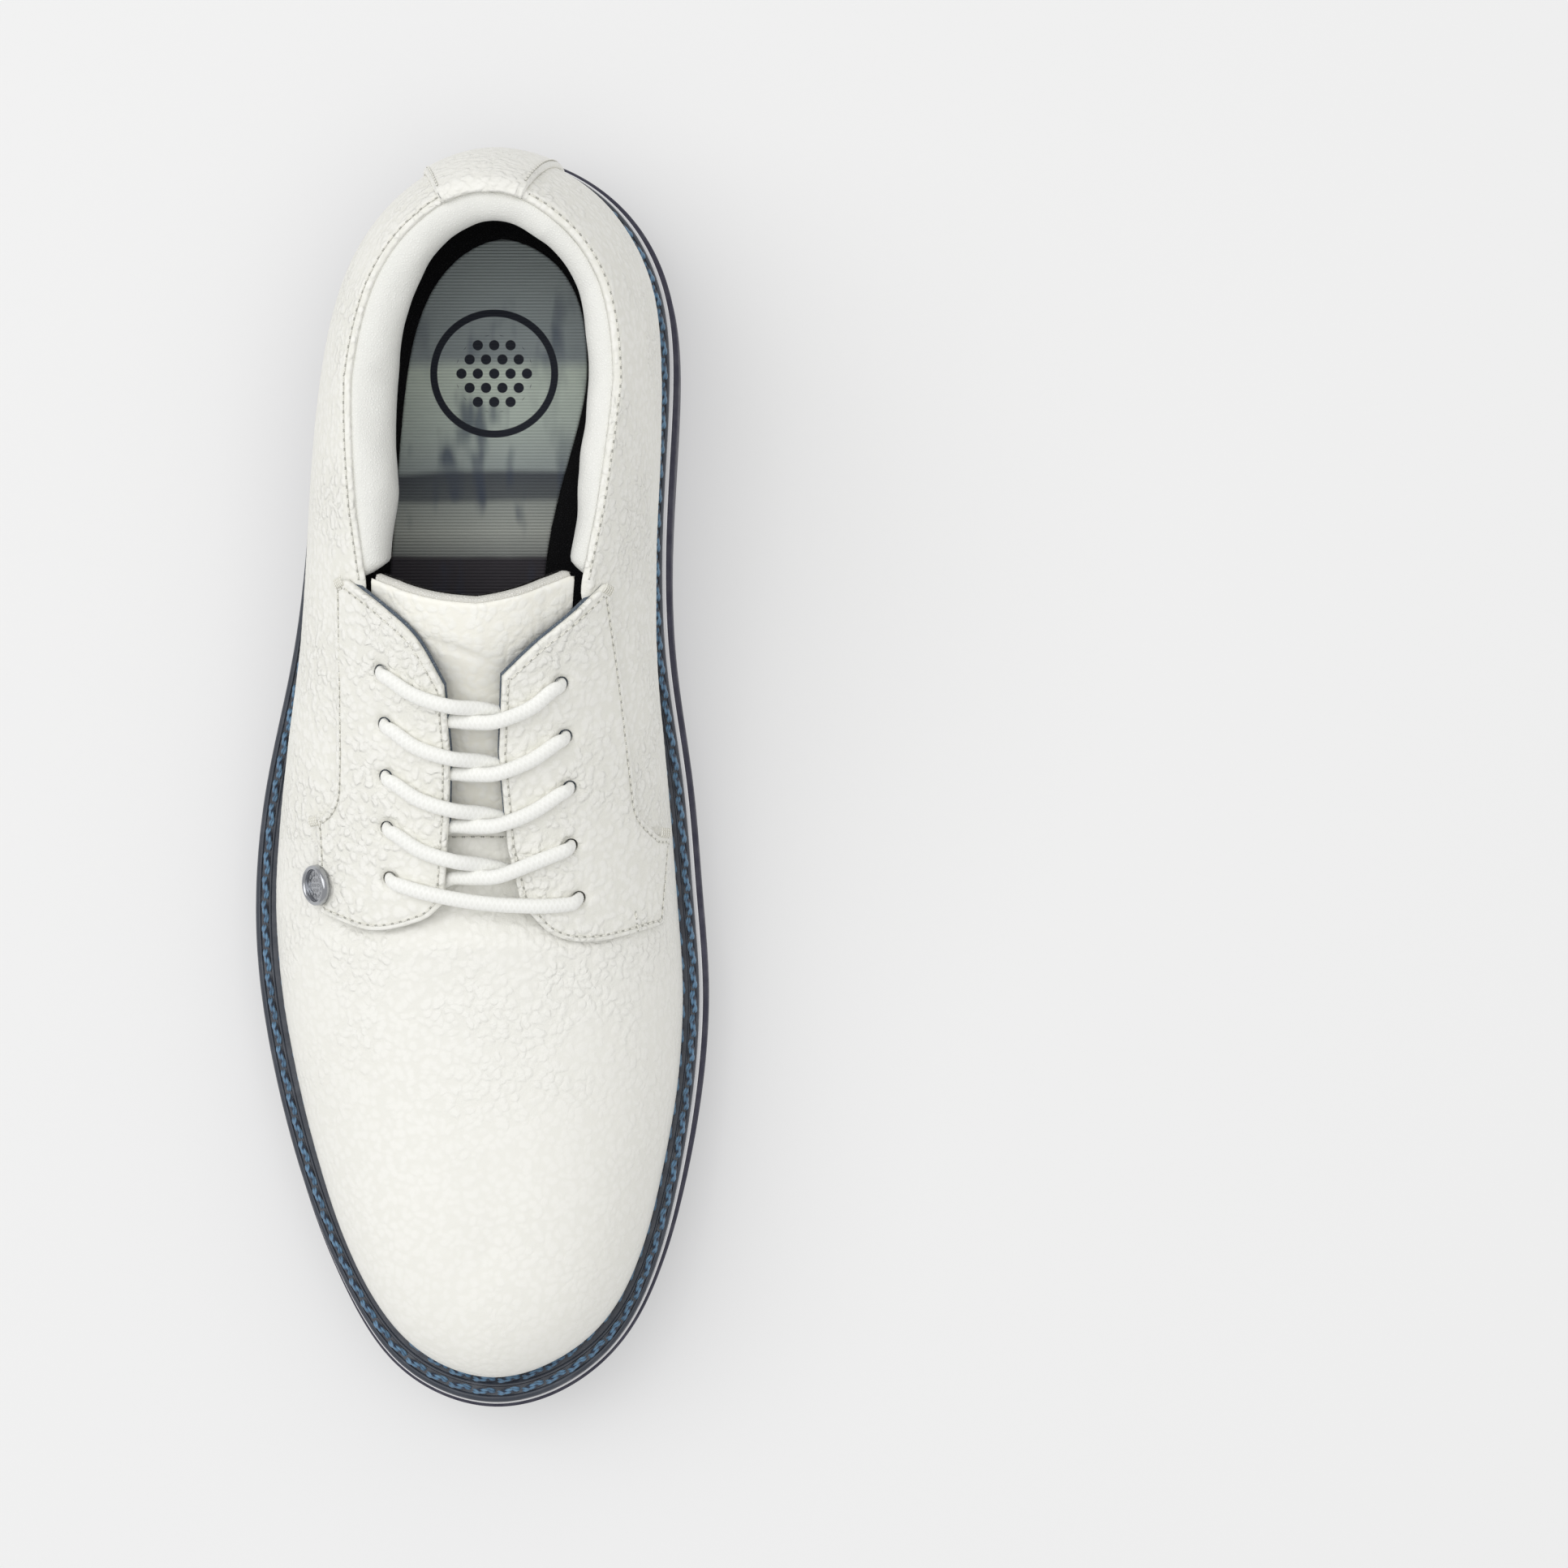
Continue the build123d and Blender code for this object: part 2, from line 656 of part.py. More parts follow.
def tube(points, diameter):
    """Round tube along straight runs joined by tangent arcs."""
    radii = corner_radii(points)
    path = FilletPolyline(*points, radius=radii)
    start = Plane(path @ 0, z_dir=path % 0)
    solid = sweep(start * Circle(diameter / 2), path=path)
    print(f"lace length {path.length:.0f} radii {min(radii):.1f} to {max(radii):.1f} "
          f"volume ratio {solid.volume / (math.pi * diameter**2 / 4 * path.length):.4f}")
    return solid


def make_lace():
    return tube(lace_points(), LACE_DIAMETER)


def make_lace_tips():
    """Moulded tips on the two tucked-in ends."""
    points = lace_points()
    tips = []
    for end, before in ((points[0], points[1]), (points[-1], points[-2])):
        plane = Plane(end, z_dir=end - before)
        tips.append(plane.location * Cylinder(TIP_DIAMETER / 2, TIP_LENGTH,
                                              align=(Align.CENTER, Align.CENTER, Align.MIN)))
    return tips


# ---------------------------------------------------------------- the badge
def badge_plane():
    """Plane on the outside of the lateral facing, square to the leather."""
    low, high = above(*BADGE_CENTRE, 0.0), above(*BADGE_CENTRE, FACING_TOP)
    return Plane(high, z_dir=high - low)


def make_badge_bezel():
    ring = Cylinder(BADGE_DIAMETER / 2, BADGE_HEIGHT) - Cylinder(BADGE_DIAMETER / 2 - BEZEL_WIDTH, BADGE_HEIGHT + 1)
    return badge_plane().location * Pos(0, 0, BADGE_HEIGHT / 2 + BADGE_LIFT) * ring


def make_badge_face():
    """Recessed disc with a ball mark: a dimple ring round a centre dimple."""
    disc = Cylinder(BADGE_DIAMETER / 2 - BEZEL_WIDTH, BADGE_HEIGHT * 0.6)
    disc = Pos(0, 0, BADGE_HEIGHT * 0.3) * disc
    dimples = [Pos(0, 0, BADGE_HEIGHT * 0.6 + 0.5) * Sphere(0.9)]
    for place in PolarLocations(2.5, 6):
        dimples.append(place * dimples[0])
    return badge_plane().location * Pos(0, 0, BADGE_LIFT) * (disc - dimples)


def make_badge_post():
    """Post through the leathers, with a washer inside."""
    length = FACING_TOP + BADGE_LIFT + LEATHER + GAP + WASHER_THICKNESS
    post = Pos(0, 0, BADGE_LIFT - length / 2) * Cylinder(POST_DIAMETER / 2, length)
    washer = Pos(0, 0, BADGE_LIFT - length + WASHER_THICKNESS / 2) * Cylinder(WASHER_DIAMETER / 2, WASHER_THICKNESS)
    return badge_plane().location * (post + washer)


def badge_hole():
    return badge_plane().location * Cylinder(POST_DIAMETER / 2 + 0.1, 20)


# ---------------------------------------------------------------- the assembly
def make_pieces():
    """Every piece of the shoe by name, in the frame of the rib table."""
    pieces = {
        "outsole": make_outsole(),
        "tread_pads": make_tread_pads(),
        "heel_lugs": make_lugs(*HEEL_LUG_ROWS),
        "forefoot_lugs": make_lugs(*FOREFOOT_LUG_ROWS),
        "midsole_strip": make_strip(),
        "welt": make_welt(),
        "welt_stitches_outer": make_stitch_row(OUTER_STITCH, STITCH_LEAN),
        "welt_stitches_inner": make_stitch_row(INNER_STITCH, 0.0),
        "bottom_filler": make_filler(),
        "shank": make_shank(),
        "insole_board": make_insole_board(),
        "sockliner_foam": make_sockliner_foam(),
        "sockliner_cover": make_sockliner_cover(),
        "vamp": toe_slab(VAMP_END, EDGE_SHARE, -LEATHER, 0.0) - badge_hole(),
        "vamp_lining": toe_slab(VAMP_END, EDGE_SHARE, -LINING_TOP - LINING, -LINING_TOP),
        "toe_puff": toe_slab(PUFF_END, 0.02, -LEATHER - GAP - STIFFENER, -LEATHER - GAP),
        "heel_counter": make_counter(),
        "quarter_lining": make_quarter_lining(),
        "heel_tab": make_heel_tab(),
        "collar_foam": make_collar_foam(),
        "collar_lining": make_collar_lining(),
        "collar_rim": make_collar_rim(),
        "tongue_leather": make_tongue_layer(0.0, TONGUE_LEATHER),
        "tongue_foam": make_tongue_layer(TONGUE_LEATHER + GAP, TONGUE_FOAM),
        "tongue_lining": make_tongue_layer(TONGUE_LEATHER + TONGUE_FOAM + 2 * GAP, LINING),
        "lace": make_lace(),
        "lace_tips": make_lace_tips(),
        "badge_bezel": make_badge_bezel(),
        "badge_face": make_badge_face(),
        "badge_post": make_badge_post(),
    }
    for side in ("lateral", "medial"):
        pieces[f"quarter_{side}"] = make_quarter(side)
        pieces[f"facing_{side}"] = make_facing(side, 0.2, FACING_LIFT, FACING_TOP, (6.3, 9.6))
        pieces[f"facing_backing_{side}"] = make_facing(side, 0.66, -BACKING, 0.0, (VAMP_END + JOIN, 9.42))
    pieces["facing_lateral"] = pieces["facing_lateral"] - badge_hole()
    return pieces


def write_parts():
    """Write each piece, with the middle of the outsole over the origin."""
    os.makedirs("parts", exist_ok=True)
    pieces = make_pieces()
    middle = pieces["outsole"].bounding_box().center()
    for name, piece in pieces.items():
        solids = piece.solids() if hasattr(piece, "solids") else [s for item in piece for s in item.solids()]
        export_step(Pos(-middle.X, -middle.Y, 0) * Compound(solids), f"parts/{name}.step")


write_parts()
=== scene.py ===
"""Looks of the right golf shoe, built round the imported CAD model.

The shape functions work in millimetres in the last maker's frame, as the CAD does. place()
turns them into metres in the row frame. The toe points to -Y and the inner side is +X.
"""

import math
from contextlib import contextmanager

import bmesh
import bpy
import numpy as np
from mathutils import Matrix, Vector, geometry, noise


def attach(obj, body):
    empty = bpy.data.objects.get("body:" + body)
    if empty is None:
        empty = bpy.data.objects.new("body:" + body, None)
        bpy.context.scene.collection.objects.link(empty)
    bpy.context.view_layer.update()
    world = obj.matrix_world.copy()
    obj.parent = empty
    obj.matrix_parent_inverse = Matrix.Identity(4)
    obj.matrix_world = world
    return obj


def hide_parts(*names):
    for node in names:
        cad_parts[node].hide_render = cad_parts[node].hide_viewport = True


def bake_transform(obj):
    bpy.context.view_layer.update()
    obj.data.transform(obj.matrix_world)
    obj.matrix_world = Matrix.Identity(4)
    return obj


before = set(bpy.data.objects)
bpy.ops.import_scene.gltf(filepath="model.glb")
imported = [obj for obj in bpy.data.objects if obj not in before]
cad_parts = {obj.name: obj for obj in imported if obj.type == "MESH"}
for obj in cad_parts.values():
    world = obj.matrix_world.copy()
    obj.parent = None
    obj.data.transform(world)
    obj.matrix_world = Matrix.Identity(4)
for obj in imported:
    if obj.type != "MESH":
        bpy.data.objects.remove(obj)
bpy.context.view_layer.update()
PEBBLE_SEED = 5
noise.seed_set(PEBBLE_SEED)    # noise_vector starts from the clock unless it is seeded

# ---------------------------------------------------------------- driving dimensions, mm
SEAT_HEIGHT = 31.0
BALL_HEIGHT = 22.0
TOE_SPRING = 9.0
SPRING_START = -55.0
WAIST_LIFT = 4.0
LUG_HEIGHT = 4.5
OUTSOLE_WIDTH = 6.0
OUTER_STITCH = 2.9
INNER_STITCH = 0.85
WELT_LEAN = 0.9
STRIP_LEAN = 0.6
STITCH_LEAN = 0.4
INNER_TUCK = 1.2
TOE_GROWTH = 0.4
CROWN_ROWS = 14
TONGUE_SPAN = (0.64, 1.37)    # shares of the ribs, across the crown at 1
LEATHER = 1.5
LINING = 0.9                  # thickness of the linings
STRAP = 1.4                   # thickness of the heel tab
FACING_TOP = 1.8
LACE_WIDTH = 3.6
LACE_HEIGHT = 2.7
SEAM_INSET = 1.5
ROLL_RADIUS = 2.2
SEAM_PITCH = 2.1
SEAM_HOLES = 1.75             # distance between a stitch's two needle holes
WELT_PITCH = 5.85
WELT_SINK = 0.32              # how far the welt stitches lie in their channels
FACING_LIFT = 0.3
BACKING = 1.0
EYELET_RADIUS = 1.6
BADGE_CENTRE = (-35.2, -24.5)
BADGE_RADIUS = 4.8
BADGE_TILT = (-0.28, 0.05, 0.0)    # the stud sits a little flatter against the wing's side
TONGUE_DEPTH = 5.4
TONGUE_FLARE = 3.0
SOCKLINER_INSET = 5.8
COVER_INSET = 15.5
ARCH_INSET = 8.5              # the printed cover is drawn in along the arch
FOOTBED_BASE = 2.35         # underside of the footbed above the welt line
FOAM_THICKNESS = 4.6
RING_CENTRE = (3.4, 96.5)
RING_RADIUS = 14.4
RING_LINE = 1.7
PRINT_BLUR = 0.1
BALL_MARK = 9.05
DIMPLE_PITCH = 3.9
DIMPLE_EDGE = (1.15, 1.3)     # radii between which a printed dimple fades out
PRINT_RIB = 0.75
BAND_REACH = (-0.01, 0.14)    # metres along the footbed that the printed bands cover
BANDS = (
    (0.0, (62, 58, 64)), (0.405, (70, 66, 72)), (0.415, (168, 172, 168)), (0.47, (204, 208, 200)),
    (0.535, (184, 190, 184)), (0.55, (112, 118, 120)), (0.60, (92, 98, 104)), (0.615, (186, 196, 194)),
    (0.72, (212, 224, 214)), (0.82, (226, 238, 224)), (0.845, (166, 176, 178)), (1.0, (184, 194, 194)),
)

# edge y, edge x lateral, edge x medial, crown x, crown y, crown z, rise, bulge, reach
RIBS = (
    (-142.6, 3.5, 3.5, 3.0, -112.0, 56.0, 20.0, 1.0, 0.62),
    (-138.2, -12.2, 19.1, 3.0, -111.0, 56.0, 20.0, 1.0, 0.62),
    (-128.2, -23.1, 30.6, 3.2, -107.0, 56.5, 21.0, 1.0, 0.62),
    (-113.5, -31.5, 38.0, 3.5, -100.0, 57.5, 22.0, 1.0, 0.62),
    (-95.0, -38.5, 43.0, 4.0, -88.0, 58.5, 23.0, 1.0, 0.62),
    (-74.0, -44.2, 46.6, 4.0, -71.0, 60.0, 25.0, 1.0, 0.60),
    (-51.0, -48.4, 48.0, 3.0, -49.0, 63.0, 27.0, 1.0, 0.57),
    (-27.0, -49.6, 46.4, 2.0, -26.0, 69.0, 29.0, 1.5, 0.53),
    (0.0, -46.5, 44.0, 2.0, 0.0, 78.5, 34.0, 5.0, 0.53),
    (30.0, -40.0, 40.0, 2.8, 28.0, 92.5, 38.0, 10.5, 0.56),
    (62.0, -36.0, 39.5, 4.5, 58.0, 107.0, 38.0, 12.0, 0.70),
    (92.0, -33.5, 41.0, 5.0, 84.0, 114.0, 35.0, 10.0, 0.80),
    (116.0, -28.5, 39.0, 5.0, 98.0, 116.0, 33.0, 8.5, 0.80),
    (135.0, -16.0, 27.5, 5.0, 104.0, 117.0, 32.0, 8.5, 0.78),
    (144.0, 5.5, 5.5, 5.0, 106.0, 117.0, 32.0, 9.0, 0.78),
)
HEEL = len(RIBS) - 1
LOOP = 2 * HEEL
VAMP_END = 7.5
VAMP_SEAM = 7.44              # rib of the seam that runs under the facings' front ends
QUARTER_FRONT = 7.42
LINING_FRONT = 7.6
TAB_MIDDLE = HEEL + 0.07
HEEL_RIB = 26.0               # mm per rib at the heel
TOP_SHARE = 84.0              # mm per whole share at the topline
TONGUE_RIB = 30.0             # mm per rib on the tongue
TONGUE_SHARE = 80.0           # mm per whole share on the tongue
COLLAR_START = 9.5
TOPLINE = {9.4: 0.605, 10.0: 0.565, 11.0: 0.525, 12.0: 0.545, 13.0: 0.585, 14.0: 0.60}
EYELETS = {
    "lateral": ((-19.2, 24.8), (-18.8, 12.9), (-19.0, 0.9), (-19.1, -11.0), (-18.8, -22.7)),
    "medial": ((21.4, 22.1), (22.1, 10.1), (22.8, -1.6), (22.9, -15.1), (24.5, -27.4)),
}
FACING_OUTLINES = {
    "lateral": {
        "throat": ((-26.3, 45.4), (-18.0, 39.0), (-10.5, 31.8), (-4.6, 21.3)),
        "gap": ((-4.6, 21.3), (-3.7, 6.0), (-4.4, -8.5), (-6.2, -28.6)),
        "foot": ((-6.2, -28.6), (-11.5, -32.6), (-23.0, -35.0), (-35.2, -31.2)),
        "wing": ((-35.2, -31.2), (-35.6, -9.6)),
        "seam": ((-35.6, -9.6), (-31.6, -5.5), (-30.4, 2.5), (-29.6, 24.0), (-29.1, 45.2)),
    },
    "medial": {
        "throat": ((30.8, 44.4), (24.0, 37.5), (16.3, 31.0), (8.4, 23.5)),
        "gap": ((8.4, 23.5), (7.2, 6.0), (8.6, -15.6), (11.4, -28.6)),
        "foot": ((11.4, -28.6), (18.5, -36.0), (28.0, -37.8), (42.6, -34.6)),
        "wing": ((42.6, -34.6), (43.9, -13.6), (41.4, -13.2)),
        "seam": ((41.4, -13.2), (37.4, -8.0), (36.2, 0.0), (34.0, 22.0), (31.4, 44.6)),
    },
}


# ---------------------------------------------------------------- the shape of the shoe
def smoothstep(low, high, value):
    share = np.clip((np.asarray(value, float) - low) / (high - low), 0.0, 1.0)
    return share * share * (3.0 - 2.0 * share)


def toe_spring(y):
    reach = SPRING_START - RIBS[0][0]
    return TOE_SPRING * (np.maximum(SPRING_START - np.asarray(y, float), 0.0) / reach) ** 2


def seat_line(y):
    """Height of the top of the welt."""
    return BALL_HEIGHT + (SEAT_HEIGHT - BALL_HEIGHT) * smoothstep(-35.0, 85.0, y) + toe_spring(y)


def bottom_line(y):
    """Height of the underside of the outsole, above the lugs."""
    waist = smoothstep(-25.0, 15.0, y) * (1.0 - smoothstep(45.0, 75.0, y))
    return LUG_HEIGHT + WAIST_LIFT * waist + toe_spring(y)


def loop_controls():
    """Controls of the closed cubic B-spline that passes through every rib's numbers."""
    rows = [(medial_x, y, float(seat_line(y)), *rest) for y, _, medial_x, *rest in RIBS]
    rows += [(lateral_x, y, float(seat_line(y)), *rest) for y, lateral_x, _, *rest in RIBS[-2:0:-1]]
    unit = np.eye(LOOP)
    mix = (4 * unit + np.roll(unit, 1, 0) + np.roll(unit, -1, 0)) / 6
    return np.linalg.solve(mix, np.array(rows))


CONTROLS = loop_controls()


def rib_rows(w):
    """Edge point, crown point, rise, bulge and reach of the ribs w."""
    w = np.asarray(w, float)
    whole = np.floor(w).astype(int)
    p = (w - whole)[..., None]
    weights = ((1 - p) ** 3, 3 * p**3 - 6 * p**2 + 4, -3 * p**3 + 3 * p**2 + 3 * p + 1, p**3)
    return sum(weight * CONTROLS[(whole - 1 + i) % LOOP] for i, weight in enumerate(weights)) / 6


def upper(w, t):
    """Points of the upper: w runs round the shoe, t from the welt (0) to the crown (1)."""
    w, t = np.broadcast_arrays(np.asarray(w, float), np.asarray(t, float))
    w = np.where(t > 1.0, -w, w)
    t = np.where(t > 1.0, 2.0 - t, t)[..., None]
    rows = rib_rows(w)
    edge, crown = rows[..., 0:3], rows[..., 3:6]
    rise, bulge, reach = rows[..., 6:7], rows[..., 7:8], rows[..., 8:9]
    out = (edge - crown) * (1.0, 1.0, 0.0)
    span = np.linalg.norm(out, axis=-1, keepdims=True)
    out = out / span
    knee = edge + out * bulge + rise * (0.0, 0.0, 1.0)
    shoulder = crown + out * reach * span
    s = 1.0 - t
    return s**3 * edge + 3 * s * s * t * knee + 3 * s * t * t * shoulder + t**3 * crown


def normals(w, t):
    """Outward unit normals of the upper."""
    w, t = np.broadcast_arrays(np.asarray(w, float), np.asarray(t, float))
    step = 1e-3
    flat = np.where(t > 1.0, np.maximum(t, 1.07), np.minimum(t, 0.93))
    along = upper(w + step, flat) - upper(w - step, flat)
    up = upper(w, t + step) - upper(w, t - step)
    normal = np.cross(along, up)
    return normal / np.linalg.norm(normal, axis=-1, keepdims=True)


def skin(w, t, offset=0.0):
    """Points of the upper moved outwards by the offset."""
    return upper(w, t) + np.asarray(offset, float)[..., None] * normals(w, t)


def find_above(xy):
    """Rib and share of the upper's points straight above plan points of the instep."""
    xy = np.asarray(xy, float)
    grid_w, grid_t = np.meshgrid(np.linspace(5.5, 10.5, 21), np.linspace(0.25, 0.98, 16))
    grid_w, grid_t = np.concatenate((grid_w, -grid_w)).ravel(), np.concatenate((grid_t, grid_t)).ravel()
    near = upper(grid_w, grid_t)[:, :2]
    best = np.argmin(np.linalg.norm(xy[..., None, :] - near, axis=-1), axis=-1)
    w, t = grid_w[best], grid_t[best]
    step = 1e-4
    for _ in range(12):
        here = upper(w, t)[..., :2]
        by_w = (upper(w + step, t)[..., :2] - here) / step
        by_t = (upper(w, t + step)[..., :2] - here) / step
        miss = xy - here
        area = by_w[..., 0] * by_t[..., 1] - by_w[..., 1] * by_t[..., 0]
        w = w + (miss[..., 0] * by_t[..., 1] - miss[..., 1] * by_t[..., 0]) / area
        t = t + (by_w[..., 0] * miss[..., 1] - by_w[..., 1] * miss[..., 0]) / area
    return w, t


def topline(w):
    """Share of the ribs w at the top edge of the quarters."""
    w = np.abs(np.asarray(w, float))
    place = np.minimum(w, LOOP - w)
    marks = sorted(TOPLINE)
    return np.interp(place, marks, [TOPLINE[mark] for mark in marks])


def sole_edge(w, offset):
    """Plan points of the feather edge moved outwards by the offset."""
    edge = rib_rows(w)[..., 0:2]
    along = rib_rows(np.asarray(w) + 0.01)[..., 0:2] - rib_rows(np.asarray(w) - 0.01)[..., 0:2]
    normal = np.stack((along[..., 1], -along[..., 0]), axis=-1)
    normal /= np.linalg.norm(normal, axis=-1, keepdims=True)
    place = np.minimum(np.asarray(w) % LOOP, LOOP - np.asarray(w) % LOOP)
    growth = 1.0 + TOE_GROWTH * (1.0 - smoothstep(0.0, 3.0, place))
    reach = np.asarray(offset, float) * np.where(np.asarray(offset) > 0, growth, 1.0)
    return edge + reach[..., None] * normal


def outer_side(w):
    """1 along the outer side of the shoe, -1 along the inner side, 0 at the toe and the heel."""
    w = np.asarray(w, float) % LOOP
    place = np.minimum(w, LOOP - w)
    share = smoothstep(1.5, 5.5, place) * (1.0 - smoothstep(12.0, HEEL, place))
    return np.where(w > HEEL, share, -share)


def frame_shift():
    """Middle of the outsole's outline, which the CAD model puts over the origin."""
    outline = sole_edge(np.linspace(0, LOOP, 1200), np.full(1200, OUTSOLE_WIDTH))
    middle = (outline.min(axis=0) + outline.max(axis=0)) / 2
    return np.array((middle[0], middle[1], 0.0))


SHIFT = frame_shift()


def place(points):
    """Millimetre points of the shape functions, as metres in the row frame."""
    return (np.asarray(points, float) - SHIFT) / 1000.0


# ---------------------------------------------------------------- curves
def smooth_line(points, step=0.5):
    """Points along a smooth curve through the given ones, evenly spaced."""
    pts = np.asarray(points, float)
    ends = np.vstack((2 * pts[0] - pts[1], pts, 2 * pts[-1] - pts[-2]))
    line = []
    for a, b, c, d in zip(ends, ends[1:], ends[2:], ends[3:]):
        s = np.linspace(0, 1, 24, endpoint=False)[:, None]
        line.append(0.5 * (2 * b + (c - a) * s + (2 * a - 5 * b + 4 * c - d) * s**2
                           + (3 * b - a - 3 * c + d) * s**3))
    return spaced(np.vstack((*line, pts[-1])), step)


def straight_line(points, step=0.5):
    """Points along straight runs, evenly spaced, with every corner kept."""
    runs = [spaced(np.array(pair, float), step)[:-1] for pair in zip(points, points[1:])]
    return np.vstack((*runs, points[-1]))


def running(line):
    """Length run at each point of a polyline."""
    return np.concatenate(([0.0], np.cumsum(np.linalg.norm(np.diff(line, axis=0), axis=1))))


def sampled(line, lengths, marks):
    """Values of a polyline's columns where its running length passes the marks."""
    return np.stack([np.interp(marks, lengths, column) for column in line.T], axis=1)


def spaced(line, step):
    """The same polyline with its points about one step apart."""
    lengths = running(line)
    marks = np.linspace(0.0, lengths[-1], max(int(round(lengths[-1] / step)), 2) + 1)
    return sampled(line, lengths, marks)


def nearest_distance(points, line):
    """Distance of each point to the nearest segment of a polyline."""
    a, b = line[:-1], line[1:]
    run = b - a
    length = np.maximum((run**2).sum(axis=1), 1e-12)
    best = np.full(len(points), np.inf)
    for start in range(0, len(points), 2000):
        part = points[start:start + 2000]
        share = np.clip(((part[:, None] - a) * run).sum(axis=2) / length, 0, 1)
        gap = part[:, None] - a - share[..., None] * run
        best[start:start + 2000] = np.sqrt((gap**2).sum(axis=2).min(axis=1))
    return best


def inside(points, loop):
    """Whether each plan point lies inside a closed loop."""
    x, y = points[:, 0:1], points[:, 1:2]
    x1, y1 = loop[:, 0], loop[:, 1]
    x2, y2 = np.roll(x1, -1), np.roll(y1, -1)
    crosses = (y1 > y) != (y2 > y)
    with np.errstate(divide="ignore", invalid="ignore"):
        at = x1 + (y - y1) * (x2 - x1) / (y2 - y1)
    return (crosses & (x < at)).sum(axis=1) % 2 == 1


# ---------------------------------------------------------------- meshes
def new_piece(name, points, faces, finish, body="shoe"):
    """Mesh object from millimetre points, riding on a CAD body if one is named."""
    mesh = bpy.data.meshes.new(name)
    mesh.from_pydata([tuple(p) for p in place(points)], [], [tuple(int(i) for i in f) for f in faces])
    mesh.materials.append(FINISHES[finish])
    piece = bpy.data.objects.new(name, mesh)
    bpy.context.collection.objects.link(piece)
    mesh.validate()
    mesh.shade_smooth()
    if body:
        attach(piece, body)
    return piece


def closed_piece(name, points, faces, finish, body="shoe", nodes=(), reach=0.0, angle=0):
    """Closed piece in place of CAD nodes: the named ones, or the one with the piece's own name."""
    piece = new_piece(name, points, faces, finish, body)
    if reach:
        weld(piece, reach)
    tidy_normals(piece)
    if angle:
        sharpen(piece, angle)
    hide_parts(*(nodes or (name.lower(),)))
    return piece


@contextmanager
def edited(piece):
    """A piece's mesh open for editing, and written back at the end."""
    mesh = bmesh.new()
    mesh.from_mesh(piece.data)
    yield mesh
    mesh.to_mesh(piece.data)
    mesh.free()


def tidy_normals(piece):
    """Make a closed mesh's faces point outwards."""
    with edited(piece) as mesh:
        bmesh.ops.recalc_face_normals(mesh, faces=mesh.faces)


def weld(piece, reach):
    """Joins points that coincide, such as both sides of the toe's crown."""
    with edited(piece) as mesh:
        bmesh.ops.remove_doubles(mesh, verts=mesh.verts, dist=reach)
        bmesh.ops.dissolve_degenerate(mesh, edges=mesh.edges, dist=reach / 4)
        walls = [face for face in mesh.faces if sum(len(edge.link_faces) > 2 for edge in face.edges) > 1]
        bmesh.ops.delete(mesh, geom=walls, context="FACES")


def sharpen(piece, degrees):
    """Keeps edges crisp where faces meet at more than the angle."""
    with edited(piece) as mesh:
        for edge in mesh.edges:
            edge.smooth = len(edge.link_faces) != 2 or edge.calc_face_angle(0.0) < math.radians(degrees)


def grid_faces(rows, columns, wrap_rows=False, wrap_columns=False, start=0):
    """Quads of a grid of points stored row after row."""
    faces = []
    for r in range(rows if wrap_rows else rows - 1):
        for c in range(columns if wrap_columns else columns - 1):
            r2, c2 = (r + 1) % rows, (c + 1) % columns
            faces.append((start + r * columns + c, start + r * columns + c2,
                          start + r2 * columns + c2, start + r2 * columns + c))
    return faces


def thick_sheet(outer, inner):
    """Points and quads of a closed sheet between two matching grids."""
    rows, columns = outer.shape[:2]
    count = rows * columns
    points = np.concatenate((outer.reshape(-1, 3), inner.reshape(-1, 3)))
    faces = grid_faces(rows, columns)
    faces += [tuple(i + count for i in reversed(f)) for f in grid_faces(rows, columns)]
    rim = [r * columns for r in range(rows)]
    rim += [(rows - 1) * columns + c for c in range(1, columns)]
    rim += [r * columns + columns - 1 for r in range(rows - 2, -1, -1)]
    rim += list(range(columns - 2, 0, -1))
    for a, b in zip(rim, rim[1:] + rim[:1]):
        faces.append((a, a + count, b + count, b))
    return points, faces


def edge_roll(distance, radius):
    """Depth of a rounded edge at a distance in from it."""
    x = np.clip(1.0 - np.asarray(distance) / radius, 0.0, 1.0)
    return radius * (1.0 - np.sqrt(1.0 - x * x))


def seam_dip(distance):
    """Groove that a row of stitches pulls into the leather, 0.22 mm deep."""
    return 0.22 * np.exp(-((np.asarray(distance) - SEAM_INSET) / 0.55) ** 2)


def closed(loop):
    return np.vstack((loop, loop[:1]))


def left_normals(line):
    """Unit normals to the left of a plan polyline."""
    along = np.gradient(line, axis=0)
    normal = np.stack((-along[:, 1], along[:, 0]), axis=1)
    return normal / np.maximum(np.linalg.norm(normal, axis=1, keepdims=True), 1e-9)


def inset_loop(loop, inset):
    """Points at a distance inside a closed plan loop, without those that cross over at corners."""
    around = np.vstack((loop[-1:], loop, loop[:1]))
    moved = loop + inset * left_normals(around)[1:-1]
    if not inside(moved[len(moved) // 3:][:1], loop)[0]:
        moved = 2 * loop - moved
    return moved[nearest_distance(moved, closed(loop)) > 0.94 * inset]


